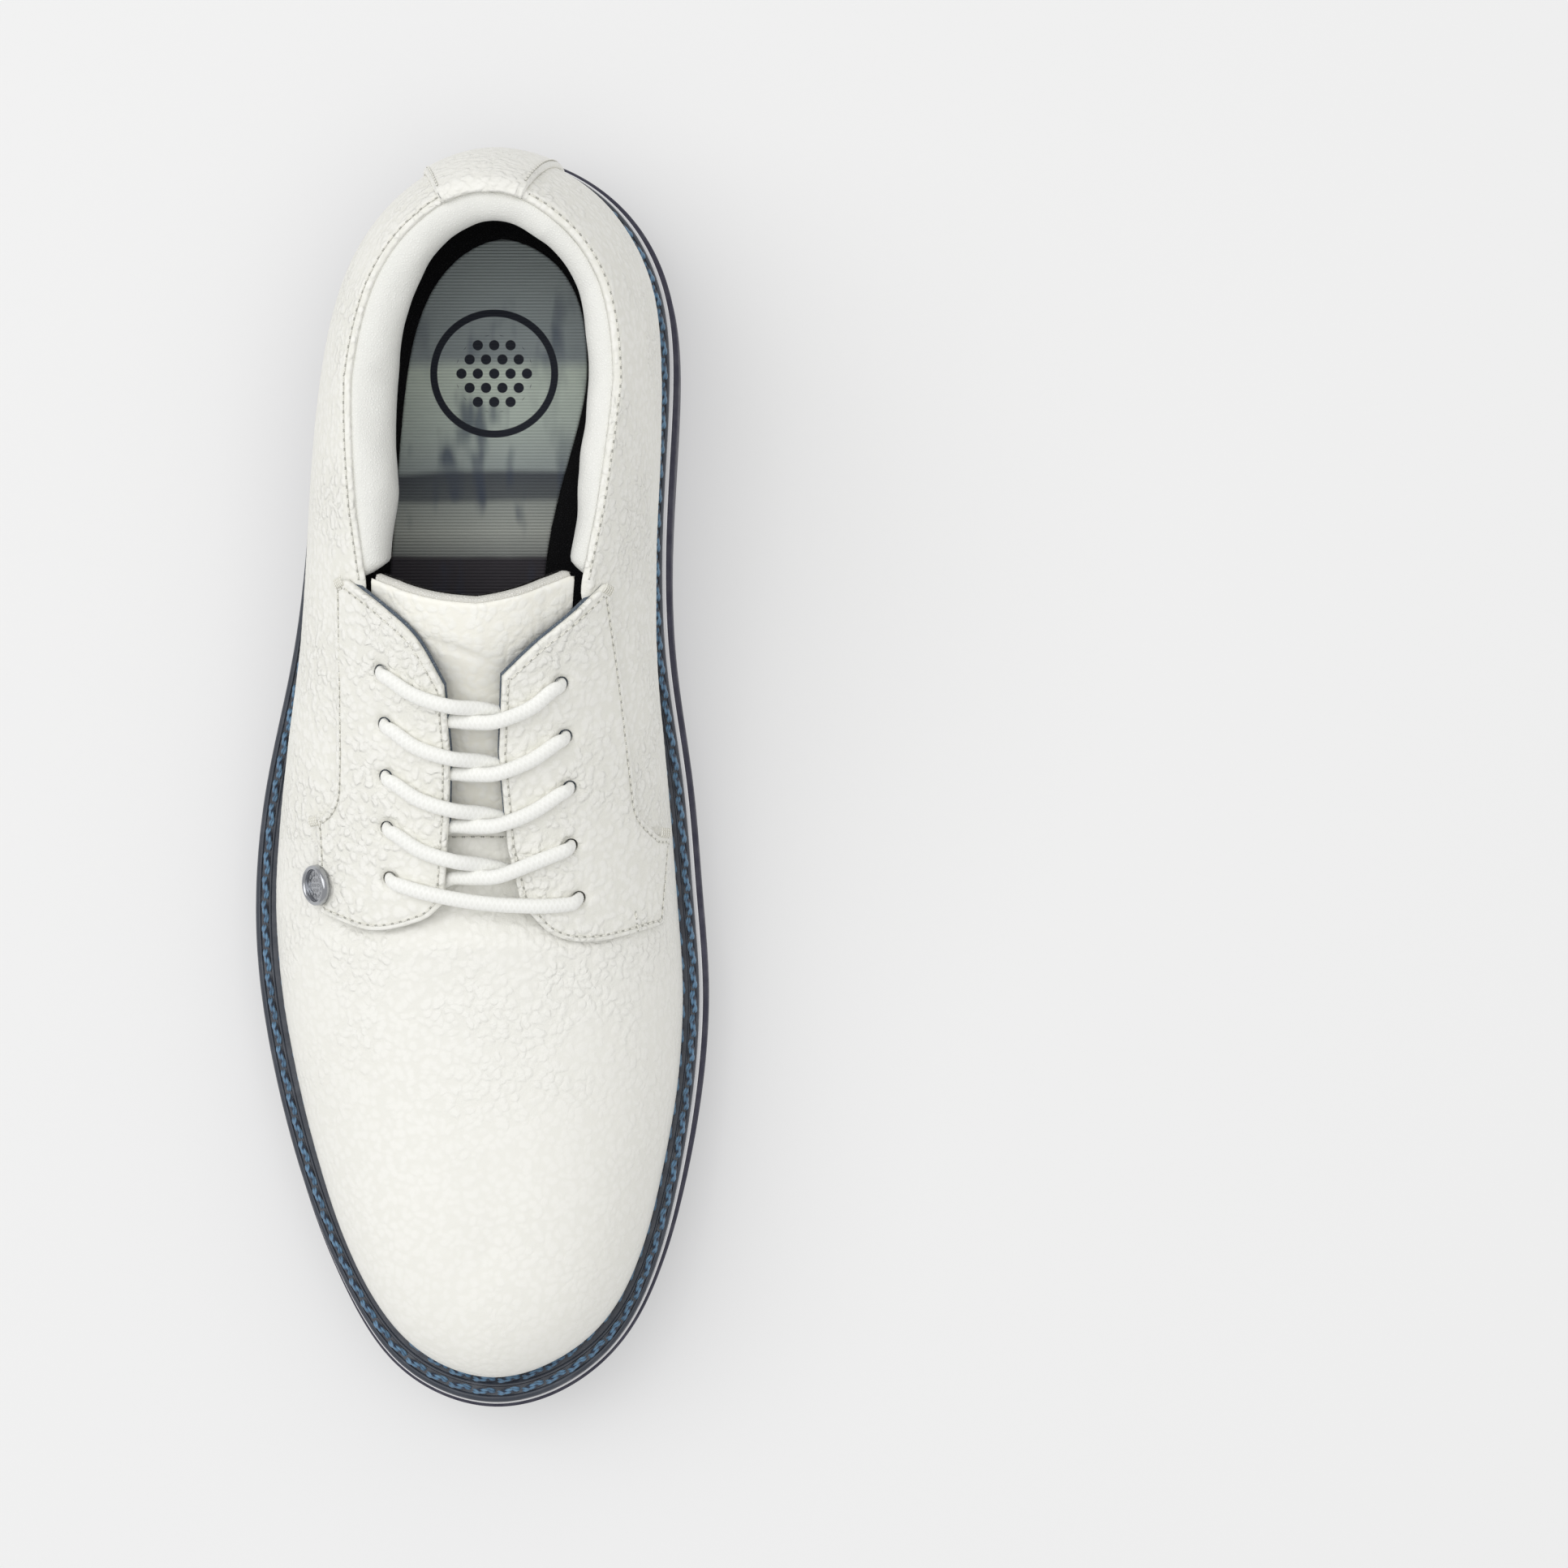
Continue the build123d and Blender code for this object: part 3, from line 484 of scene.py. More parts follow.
def fill(outline, holes, spacing, insets):
    """Points and triangles that fill a closed plan loop, with rings of points along its edge."""
    loops = [outline, *holes]
    edges, start = [], 0
    for loop in loops:
        edges += [(start + i, start + (i + 1) % len(loop)) for i in range(len(loop))]
        start += len(loop)
    low, high = outline.min(axis=0), outline.max(axis=0)
    row = np.arange(low[0], high[0], spacing)
    grid = np.array([(x + spacing / 2 * (k % 2), y)
                     for k, y in enumerate(np.arange(low[1], high[1], spacing * 0.87)) for x in row])
    grid = grid[inside(grid, outline)]
    rings = [inset_loop(outline, inset) for inset in insets]
    for loop in loops:
        grid = grid[nearest_distance(grid, closed(loop)) > insets[-1] + 0.6 * spacing]
    for hole in holes:
        grid = grid[~inside(grid, hole)]
        rings = [ring[~inside(ring, hole)] for ring in rings]
    points = np.vstack((*loops, *rings, grid))
    result = geometry.delaunay_2d_cdt([Vector(p) for p in points], edges, [], 0, 1e-5)
    points = np.array([tuple(p) for p in result[0]])
    triangles = np.array(result[2])
    middles = points[triangles].mean(axis=1)
    keep = inside(middles, outline)
    for hole in holes:
        keep &= ~inside(middles, hole)
    return points, triangles[keep]


def two_layers(outer, inner, triangles):
    """Points and faces of a closed sheet between two matching triangle layers."""
    count = len(outer)
    rim = {}
    for a, b, c in triangles.tolist():
        for edge in ((a, b), (b, c), (c, a)):
            if edge[::-1] in rim:
                del rim[edge[::-1]]
            else:
                rim[edge] = True
    faces = triangles.tolist() + (triangles[:, ::-1] + count).tolist()
    faces += [(b, a, a + count, b + count) for a, b in rim]
    return np.vstack((outer, inner)), faces


def grain(points, cell, depth):
    """Relief of the leather's pebbles: soft domes with creases between them."""
    gaps = np.empty(len(points))
    for i, point in enumerate(points / cell):
        spot = Vector(point)
        near = noise.voronoi(spot + 0.35 * noise.noise_vector(spot * 0.6))[0]
        gaps[i] = near[1] - near[0]
    return depth * (1.0 - np.exp(-((gaps / 0.4) ** 2)) - 0.7)


def soft_noise(points, size, depth):
    """Slow unevenness of a hand-lasted surface."""
    return depth * np.array([noise.noise(Vector(p)) for p in points / size])


# ---------------------------------------------------------------- materials
def linear(red, green, blue):
    """Linear colour of an 8-bit display colour."""
    shares = np.array((red, green, blue)) / 255.0
    return tuple(np.where(shares <= 0.04045, shares / 12.92, ((shares + 0.055) / 1.055) ** 2.4)) + (1.0,)


class Finish:
    """One Principled material, with short calls for the nodes that vary it over the surface."""

    def __init__(self, name, colour, roughness, **values):
        self.material = bpy.data.materials.new(name)
        self.material.use_nodes = True
        self.tree = self.material.node_tree
        self.shader = self.tree.nodes["Principled BSDF"]
        self.shader.inputs["Base Color"].default_value = linear(*colour)
        self.shader.inputs["Roughness"].default_value = roughness
        for label, value in values.items():
            self.shader.inputs[label.replace("_", " ")].default_value = value
        self.place = self.node("ShaderNodeTexCoord").outputs["Object"]
        self.relief = None

    def node(self, kind, inputs=None, **settings):
        node = self.tree.nodes.new(kind)
        for key, value in settings.items():
            setattr(node, key, value)
        for socket, value in (inputs or {}).items():
            if isinstance(value, bpy.types.NodeSocket):
                self.tree.links.new(value, node.inputs[socket])
            else:
                node.inputs[socket].default_value = value
        return node

    def vector(self, operation, first, second=(0.0, 0.0, 0.0), output=0):
        return self.node("ShaderNodeVectorMath", {0: first, 1: second}, operation=operation).outputs[output]

    def stretched(self, *shares):
        """The piece's own coordinates, stretched along each axis."""
        return self.vector("MULTIPLY", self.place, shares)

    def warped(self, size, amount):
        """The piece's own coordinates, pushed about by noise, sizes in mm."""
        wander = self.node("ShaderNodeTexNoise", {"Vector": self.place, "Scale": 1000 / size, "Detail": 2.0})
        centred = self.vector("SUBTRACT", wander.outputs["Color"], (0.5, 0.5, 0.5))
        push = {0: centred, "Scale": 2 * amount / 1000}
        pushed = self.node("ShaderNodeVectorMath", push, operation="SCALE")
        return self.vector("ADD", self.place, pushed.outputs[0])

    def noise(self, size, detail=3.0, vector=None):
        """Noise with features of about a size in mm."""
        inputs = {"Vector": vector or self.place, "Scale": 1000 / size, "Detail": detail}
        return self.node("ShaderNodeTexNoise", inputs).outputs["Fac"]

    def creases(self, size, vector=None):
        """Distance to the nearest edge between cells of about a size in mm."""
        inputs = {"Vector": vector or self.place, "Scale": 1000 / size}
        return self.node("ShaderNodeTexVoronoi", inputs, feature="DISTANCE_TO_EDGE").outputs["Distance"]

    def math(self, operation, first, second=0.0):
        return self.node("ShaderNodeMath", {0: first, 1: second}, operation=operation).outputs[0]

    def between(self, value, low, high, start=0.0, end=1.0):
        """Smooth change from start to end while the value goes from low to high."""
        inputs = {"Value": value, "From Min": low, "From Max": high, "To Min": start, "To Max": end}
        return self.node("ShaderNodeMapRange", inputs, interpolation_type="SMOOTHSTEP").outputs["Result"]

    def blend(self, share, first, second):
        """Colour between two, each an 8-bit colour or another node's output."""
        def ready(colour):
            return colour if isinstance(colour, bpy.types.NodeSocket) else linear(*colour)
        inputs = {"Factor": share, 6: ready(first), 7: ready(second)}
        return self.node("ShaderNodeMix", inputs, data_type="RGBA").outputs[2]

    def colour(self, output):
        self.tree.links.new(output, self.shader.inputs["Base Color"])

    def roughness(self, output):
        self.tree.links.new(output, self.shader.inputs["Roughness"])

    def bump(self, height, depth):
        """Adds a relief whose height runs from 0 to 1 over a depth in mm."""
        inputs = {"Height": height, "Distance": depth / 1000, "Strength": 1.0}
        if self.relief:
            inputs["Normal"] = self.relief
        self.relief = self.node("ShaderNodeBump", inputs).outputs["Normal"]
        self.tree.links.new(self.relief, self.shader.inputs["Normal"])


def leather(name, colour, crease, cell, depth, toe_share=1.0):
    """Pebbled leather: soft domed grains of two sizes, with painted shade in the crease colour between the
    domes; toe_share of their depth is left at the toe.
    """
    roughness = 0.47
    finish = Finish(name, colour, roughness, Specular_IOR_Level=0.38, Coat_Weight=0.05, Coat_Roughness=0.35)
    moved = finish.warped(2.6 * cell, 0.8 * cell)
    domes = finish.node("ShaderNodeTexVoronoi", {"Vector": moved, "Scale": 1000 / cell, "Smoothness": 0.35},
                        feature="SMOOTH_F1").outputs["Distance"]
    large = finish.between(domes, 0.25, 0.75, 1.0, 0.0)
    small = finish.between(finish.creases(0.45 * cell, moved), 0.0, 0.3)
    patchy = finish.between(finish.noise(22.0, 2.0), 0.36, 0.64, 0.3, 1.0)
    along = finish.node("ShaderNodeSeparateXYZ", {0: finish.place}).outputs[1]
    strength = finish.math("MULTIPLY", patchy, finish.between(along, -0.11, -0.03, toe_share, 1.0))
    finish.bump(finish.math("MULTIPLY", large, strength), depth)
    finish.bump(finish.math("MULTIPLY", small, strength), 0.12 * depth)
    slanted = finish.node("ShaderNodeMapping", {
        "Vector": finish.place, "Rotation": (0.0, 0.0, math.radians(24)), "Scale": (1.0, 0.22, 0.6)})
    folds = finish.noise(3.2, 2.0, slanted.outputs[0])
    finish.bump(finish.math("MULTIPLY", folds, strength), 0.3 * depth)
    finish.bump(finish.noise(0.35, 4.0), 0.012)
    stain = finish.between(finish.noise(55.0, 4.0), 0.3, 0.7)
    tone = finish.blend(stain, colour, tuple(c - 3 for c in colour))
    # painted shade: the crease colour darkens the edges between the domes
    finish.colour(finish.blend(large, crease, tone))
    finish.roughness(finish.between(finish.noise(1.3, 3.0), 0.3, 0.7, roughness - 0.05, roughness + 0.07))
    return finish.material


def knit(name, colour, dark, pitch, depth, sheen):
    """Knitted cloth: fine loops in rows with painted shade in the gaps between them, darker random patches
    and a soft sheen.
    """
    finish = Finish(name, colour, 0.92, Sheen_Weight=sheen, Sheen_Roughness=0.4, Specular_IOR_Level=0.2)
    loops = finish.creases(pitch, finish.warped(pitch * 2.5, pitch * 0.25))
    threads = finish.between(loops, 0.0, 0.4)
    fuzz = finish.noise(pitch * 0.35, 4.0)
    finish.bump(threads, depth)
    finish.bump(fuzz, depth * 0.4)
    wear = finish.between(finish.noise(18.0, 3.0), 0.3, 0.7, 0.0, 0.35)
    lively = finish.math("MULTIPLY", threads, finish.math("SUBTRACT", 1.0, wear))
    # painted shade: the dark colour fills the gaps between the loops; the wear noise darkens random patches
    finish.colour(finish.blend(lively, dark, colour))
    return finish.material


def foam(name, colour, dark):
    """Open-cell foam, with painted shade in the grooves between its cells."""
    finish = Finish(name, colour, 0.9, Specular_IOR_Level=0.25)
    pores = finish.between(finish.creases(0.55), 0.0, 0.35)
    finish.bump(pores, 0.12)
    # painted shade: the dark colour fills the grooves between the cells
    finish.colour(finish.blend(pores, dark, colour))
    return finish.material


def rubber(name, colour, light, roughness):
    """Moulded rubber: satin, with fine pits and slightly paler scuffs."""
    finish = Finish(name, colour, roughness, Specular_IOR_Level=0.45)
    scuffs = finish.between(finish.noise(7.0, 8.0), 0.52, 0.78, 0.0, 0.6)
    finish.colour(finish.blend(scuffs, colour, light))
    finish.bump(finish.noise(0.45, 5.0), 0.035)
    finish.bump(finish.noise(9.0, 2.0), 0.12)
    finish.roughness(finish.between(finish.noise(3.0, 5.0), 0.3, 0.75, roughness - 0.08, roughness + 0.12))
    return finish.material


def thread(name, colour, dark, roughness, pitch, depth):
    """Twisted or braided thread, patterned along the attribute the stitch maker stores, with painted shade in
    the grooves between its strands.
    """
    finish = Finish(name, colour, roughness, Sheen_Weight=0.3, Specular_IOR_Level=0.45)
    spun = finish.node("ShaderNodeAttribute", attribute_name="spun").outputs["Vector"]
    parts = finish.node("ShaderNodeSeparateXYZ", {0: spun})
    crossing = []
    for sign in (1.0, -1.0):
        turn = finish.math("MULTIPLY", parts.outputs[1], sign)
        phase = finish.math("ADD", finish.math("DIVIDE", parts.outputs[0], pitch), turn)
        crossing.append(finish.math("SINE", finish.math("MULTIPLY", phase, 2 * math.pi)))
    weave = finish.math("MAXIMUM", *crossing)
    strands = finish.between(weave, -0.2, 1.0)
    finish.bump(strands, depth)
    finish.bump(finish.noise(0.25, 4.0), depth * 0.3)
    uneven = finish.between(finish.noise(4.0, 3.0), 0.3, 0.7, 0.65, 1.0)
    # painted shade: the dark colour fills the grooves between the strands; the uneven noise varies the tone
    # at random
    finish.colour(finish.blend(finish.math("MULTIPLY", strands, uneven), dark, colour))
    return finish.material


def metal(name, colour, roughness, scratch):
    finish = Finish(name, colour, roughness, Metallic=1.0)
    lines = finish.noise(0.8, 6.0, finish.stretched(1.0, 14.0, 3.0))
    finish.bump(lines, scratch)
    finish.roughness(finish.between(finish.noise(2.5, 5.0), 0.35, 0.7, roughness, roughness + 0.14))
    return finish.material


def fibre_board():
    finish = Finish("fibre_board", (196, 168, 128), 0.85)
    flecks = finish.noise(1.2, 8.0, finish.stretched(1.0, 0.35, 1.0))
    finish.colour(finish.blend(finish.between(flecks, 0.35, 0.7), (160, 130, 92), (205, 180, 142)))
    finish.bump(flecks, 0.08)
    return finish.material


def cork():
    finish = Finish("pressed_cork", (160, 118, 74), 0.9)
    crumbs = finish.between(finish.creases(2.2, finish.warped(3.0, 0.6)), 0.0, 0.2)
    tone = finish.blend(finish.noise(2.4, 5.0), (120, 82, 48), (182, 140, 92))
    finish.colour(finish.blend(crumbs, (70, 46, 26), tone))
    finish.bump(crumbs, 0.25)
    return finish.material


def resin(name, colour, darker):
    """Pressed thermoplastic with flow marks and a grained face."""
    finish = Finish(name, colour, 0.5)
    flow = finish.between(finish.noise(14.0, 6.0, finish.stretched(1.0, 0.4, 1.0)), 0.3, 0.7)
    finish.colour(finish.blend(flow, colour, darker))
    finish.bump(finish.noise(0.6, 5.0), 0.05)
    return finish.material


def clear_tip():
    finish = Finish("clear_tip", (232, 234, 236), 0.16, Transmission_Weight=0.55, IOR=1.46, Coat_Weight=0.4)
    finish.bump(finish.noise(1.6, 3.0), 0.05)
    finish.roughness(finish.between(finish.noise(2.0, 4.0), 0.3, 0.7, 0.1, 0.3))
    return finish.material


def footbed_print():
    """Ribbed footbed cloth with a blurred blue-grey print and a ring round a dimpled ball."""
    finish = Finish("footbed_print", (120, 134, 138), 0.62, Sheen_Weight=0.15, Specular_IOR_Level=0.35)
    axes = finish.node("ShaderNodeSeparateXYZ", {0: finish.place})
    along = axes.outputs[1]
    shifts = finish.math("MULTIPLY", finish.noise(40.0, 2.0), 0.004)
    level = finish.math("ADD", along, shifts)
    bands = finish.node("ShaderNodeValToRGB", {0: finish.between(level, *BAND_REACH)})
    bands.color_ramp.elements.remove(bands.color_ramp.elements[0])
    bands.color_ramp.elements[0].position = BANDS[0][0]
    bands.color_ramp.elements[0].color = linear(*BANDS[0][1])
    for share, colour in BANDS[1:]:
        bands.color_ramp.elements.new(share).color = linear(*colour)
    smear = finish.noise(7.0, 2.0, finish.stretched(1.0, 0.3, 1.0))
    patches = finish.noise(34.0, 1.0, finish.stretched(0.7, 1.5, 1.0))
    dark = finish.math("MULTIPLY", finish.between(smear, 0.5, 0.66), finish.between(patches, 0.4, 0.6))
    tone = finish.blend(finish.math("MULTIPLY", dark, 0.75), bands.outputs[0], (66, 80, 104))
    offset = finish.vector("SUBTRACT", finish.place, tuple(place((*RING_CENTRE, 0.0))))
    flat = finish.vector("MULTIPLY", offset, (1.0, 1.0, 0.0))
    radius = finish.vector("LENGTH", flat, output="Value")
    width = finish.math("ABSOLUTE", finish.math("SUBTRACT", radius, RING_RADIUS / 1000))
    blur = PRINT_BLUR / 1000
    ring = finish.between(width, RING_LINE / 2000 - blur, RING_LINE / 2000 + blur, 1.0, 0.0)
    nearest = []
    cell = (DIMPLE_PITCH / 1000, DIMPLE_PITCH * math.sqrt(3) / 1000, 1.0)
    for start in (0.5, 1.0):
        moved = finish.vector("ADD", finish.vector("DIVIDE", flat, cell), (start, start, 0.0))
        centred = finish.vector("SUBTRACT", finish.vector("FRACTION", moved), (0.5, 0.5, 0.0))
        nearest.append(finish.vector("LENGTH", finish.vector("MULTIPLY", centred, cell), output="Value"))
    dots = finish.math("MINIMUM", *nearest)
    dimple = finish.between(dots, DIMPLE_EDGE[0] / 1000, DIMPLE_EDGE[1] / 1000, 1.0, 0.0)
    ball = finish.between(radius, BALL_MARK / 1000, BALL_MARK / 1000 + 3 * blur, 1.0, 0.0)
    ink = finish.math("MAXIMUM", ring, finish.math("MULTIPLY", ball, dimple))
    tone = finish.blend(ink, tone, (24, 30, 44))
    rib = finish.math("SINE", finish.math("MULTIPLY", along, 2 * math.pi * 1000 / PRINT_RIB))
    ribs = finish.between(rib, -1.0, 1.0)
    finish.colour(finish.blend(finish.math("MULTIPLY", ribs, 0.22), tone, (30, 34, 40)))
    finish.bump(ribs, 0.12)
    finish.bump(finish.noise(0.4, 4.0), 0.04)
    return finish.material


def make_finishes():
    cream = (246, 245, 239)
    return {
        # the second colour of each leather is painted shade in the creases between its pebbles
        "smooth_leather": leather("smooth_leather", cream, (240, 239, 232), 1.9, 0.27, 0.35),
        "pebbled_leather": leather("pebbled_leather", cream, (238, 237, 229), 1.9, 0.36),
        "tongue_cream": leather("tongue_cream", (253, 252, 245), (250, 248, 238), 2.0, 0.13),
        # the second colour of each knit is painted shade in the gaps between its loops
        "collar_cloth": knit("collar_cloth", (246, 246, 242), (238, 238, 233), 0.6, 0.07, 0.4),
        "black_lining": knit("black_lining", (34, 31, 31), (12, 10, 11), 0.9, 0.16, 0.15),
        "backing_cloth": knit("backing_cloth", (128, 138, 148), (82, 92, 104), 0.6, 0.10, 0.2),
        # the second colour of each foam is painted shade between its cells
        "foam_white": foam("foam_white", (240, 239, 234), (222, 220, 212)),
        "foam_black": foam("foam_black", (26, 26, 28), (10, 10, 12)),
        "welt_navy": rubber("welt_navy", (56, 61, 71), (88, 92, 100), 0.38),
        "outsole_navy": rubber("outsole_navy", (44, 43, 62), (74, 72, 92), 0.5),
        "lug_navy": rubber("lug_navy", (38, 46, 66), (80, 88, 108), 0.5),
        "strip_white": rubber("strip_white", (238, 238, 240), (250, 250, 252), 0.45),
        # the second colour of each thread is painted shade in the grooves between its strands
        "stitch_blue": thread("stitch_blue", (98, 138, 170), (22, 38, 62), 0.36, 4.2, 0.06),
        "lace_white": thread("lace_white", (251, 251, 247), (244, 244, 239), 0.6, 1.3, 0.025),
        "seam_thread": thread("seam_thread", (246, 245, 237), (226, 224, 213), 0.5, 0.6, 0.05),
        # the needle-hole marks are painted shade for the holes in the leather
        "needle_hole_shade": thread("needle_hole_shade", (190, 189, 180), (165, 164, 156), 0.9, 0.6, 0.02),
        "footbed_print": footbed_print(),
        "stiffener": resin("stiffener", (206, 200, 186), (190, 182, 166)),
        "board": fibre_board(),
        "cork": cork(),
        "steel": metal("steel", (150, 152, 156), 0.32, 0.02),
        "badge_chrome": metal("badge_chrome", (176, 178, 182), 0.10, 0.006),
        "tip_clear": clear_tip(),
    }


FINISHES = make_finishes()


def dress_nodes(names):
    """Gives a finish to CAD nodes that keep their own shape."""
    for node, finish in names.items():
        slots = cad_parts[node].material_slots
        for slot in slots:
            slot.material = FINISHES[finish]
        if not slots:
            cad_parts[node].data.materials.append(FINISHES[finish])


# ---------------------------------------------------------------- stitches
def tube_points(path, across, widths, heights, sides):
    """Rings of an oval tube along a path; across gives the way its wide side faces."""
    along = np.gradient(path, axis=0)
    along /= np.linalg.norm(along, axis=1, keepdims=True)
    side = np.cross(across, along)
    side /= np.linalg.norm(side, axis=1, keepdims=True)
    up = np.cross(along, side)
    turns = np.linspace(0, 2 * math.pi, sides, endpoint=False)
    wide = np.asarray(widths)[:, None, None] / 2 * np.cos(turns)[None, :, None] * side[:, None]
    high = np.asarray(heights)[:, None, None] / 2 * np.sin(turns)[None, :, None] * up[:, None]
    return path[:, None] + wide + high


def tube_faces(count, sides):
    """Faces of a closed tube: the rings and a cap at each end."""
    faces = grid_faces(count, sides, wrap_columns=True)
    faces.append(tuple(reversed(range(sides))))
    faces.append(tuple((count - 1) * sides + i for i in range(sides)))
    return faces


def store_spun(piece, spun):
    """Keeps how far along and round the thread each point lies, in mm and turns."""
    attribute = piece.data.attributes.new("spun", "FLOAT_VECTOR", "POINT")
    attribute.data.foreach_set("vector", np.column_stack((spun, np.zeros(len(spun)))).ravel())


def strand_template(length, width, height, strands, stations=9, sides=6, twists=0.75, slant=0.0):
    """Points of one stitch lying along x: one plain thread or several twisted together."""
    share = np.linspace(0, 1, stations)
    taper = np.sqrt(np.clip(1 - (2 * share - 1) ** 4, 0.05, 1))
    parts = []
    for i in range(strands):
        turn = 2 * math.pi * (i / strands + twists * share)
        reach = 0.0 if strands == 1 else 0.24
        path = np.stack(((share - 0.5) * length, reach * width * np.cos(turn) + slant * (share - 0.5),
                         reach * height * np.sin(turn) + height * (0.5 - 0.9 * (2 * share - 1) ** 4)), axis=1)
        size = 1.0 if strands == 1 else 0.62
        up = np.tile((0.0, 0.0, 1.0), (stations, 1))
        parts.append(tube_points(path, up, size * width * taper, size * height * taper, sides))
    return parts


def lay_stitches(name, spots, template, finish):
    """One mesh with a copy of the stitch template at every spot (point, direction, normal)."""
    points, faces, spun = [], [], []
    start = 0
    stations, sides = template[0].shape[:2]
    ring = tube_faces(stations, sides)
    flat = [part.reshape(-1, 3) for part in template]
    turns = np.tile(np.arange(sides) / sides, stations)
    for point, along, normal in spots:
        side = np.cross(normal, along)
        side /= np.linalg.norm(side)
        along = np.cross(side, normal)
        frame_axes = np.stack((along, side, normal))
        for part in flat:
            points.append(point + part @ frame_axes)
            faces += [tuple(i + start for i in face) for face in ring]
            spun.append(np.column_stack((part[:, 0], turns)))
            start += len(part)
    piece = new_piece(name, np.vstack(points), faces, finish)
    store_spun(piece, np.vstack(spun))
    return piece


def spots_along(points, normal_at, pitch):
    """Evenly pitched (point, direction, normal) spots along a polyline."""
    lengths = running(points)
    count = int(lengths[-1] / pitch)
    if count < 1:
        return []
    pitch = lengths[-1] / count
    marks = (np.arange(count) + 0.5) * pitch
    at, ahead, behind = (sampled(points, lengths, marks + shift) for shift in (0.0, 0.2, -0.2))
    facing = sampled(normal_at, lengths, marks)
    return [(p, a - b, n / np.linalg.norm(n)) for p, a, b, n in zip(at, ahead, behind, facing)
            if np.linalg.norm(a - b) > 1e-6]


def seam_spots(w, t, height):
    """Stitch spots along a line of the upper given by ribs and shares, split where it jumps."""
    points = skin(w, t, height)
    facing = normals(w, t)
    jumps = np.where(np.linalg.norm(np.diff(points, axis=0), axis=1) > 4.0)[0] + 1
    spots = []
    for run, around in zip(np.split(points, jumps), np.split(facing, jumps)):
        if len(run) > 2:
            spots += spots_along(run, around, SEAM_PITCH)
    return spots


def lay_holes(name, spots, length):
    """Small grey marks of painted shade for the needle holes at both ends of every seam stitch."""
    ends = []
    for point, along, normal in spots:
        half = along / np.linalg.norm(along) * length / 2
        ends += [(point + half, along, normal), (point - half, along, normal)]
    lay_stitches(name, ends, strand_template(0.42, 0.5, 0.16, 1, 4), "needle_hole_shade")


# ---------------------------------------------------------------- the leather pieces
PLAN_SCALE = np.array((27.0, 78.0))    # mm per rib and per whole share at the instep


def throat_dip(w, t):
    """How far the back of the vamp sinks under the facings."""
    return 4.6 * smoothstep(6.4, 6.95, np.abs(w)) * smoothstep(0.44, 0.62, t)


def round_crown(layer):
    """Layer of the toe with the ridge rounded off where its two sides meet at the crown."""
    strip = np.concatenate((layer[-CROWN_ROWS:], layer[-2:-CROWN_ROWS - 1:-1, ::-1]))
    for _ in range(16):
        strip[1:-1] = (strip[:-2] + 2 * strip[1:-1] + strip[2:]) / 4
    rounded = layer.copy()
    rounded[-CROWN_ROWS:] = strip[:CROWN_ROWS]
    return rounded


def toe_grid(columns, shares):
    """Ribs and shares over the toe, from one side of the throat to the other."""
    return np.meshgrid(np.linspace(-VAMP_END, VAMP_END, columns), shares)


def toe_sheet(name, w, t, outside, thickness, finish, cell=0.0, depth=0.0):
    """Closed sheet over the toe, its pebbles modelled in the outer layer."""
    outer, inner = round_crown(skin(w, t, outside)), round_crown(skin(w, t, outside - thickness))
    if cell:
        fade = 0.35 + 0.65 * smoothstep(3.0, 7.0, np.abs(w))
        relief = grain(outer.reshape(-1, 3), cell, depth).reshape(w.shape) * fade
        relief = relief + soft_noise(outer.reshape(-1, 3), 22.0, 0.25).reshape(w.shape)
        outer = outer + relief[..., None] * normals(w, t)
    for layer in (outer, inner):
        layer[-1] = (layer[-1] + layer[-1, ::-1]) / 2
    closed_piece(name, *thick_sheet(outer, inner), finish, reach=0.00004)


def make_vamp():
    w, t = toe_grid(460, np.linspace(0.0, 1.0, 100))
    toe_sheet("Vamp", w, t, -throat_dip(w, t), LEATHER, "smooth_leather", 2.0, 0.06)
    w, t = toe_grid(120, np.linspace(0.02, 1.0, 26))
    toe_sheet("Vamp_lining", w, t, -throat_dip(w, t) - LEATHER - 1.3, LINING, "black_lining")


def collar_frame(w):
    """Outward normal and the direction up the upper, at the topline."""
    top = topline(w)
    up = upper(w, top + 1e-3) - upper(w, top - 1e-3)
    up /= np.linalg.norm(up, axis=-1, keepdims=True)
    return normals(w, top), up


def collar_point(w, depth, climb):
    """Points of the collar: depth inwards from the upper, climb above (or below) the topline."""
    up = collar_frame(w)[1]
    down = skin(w, topline(w) + np.minimum(climb, 0.0) / TOP_SHARE, -np.asarray(depth, float))
    return down + np.maximum(climb, 0.0)[..., None] * up


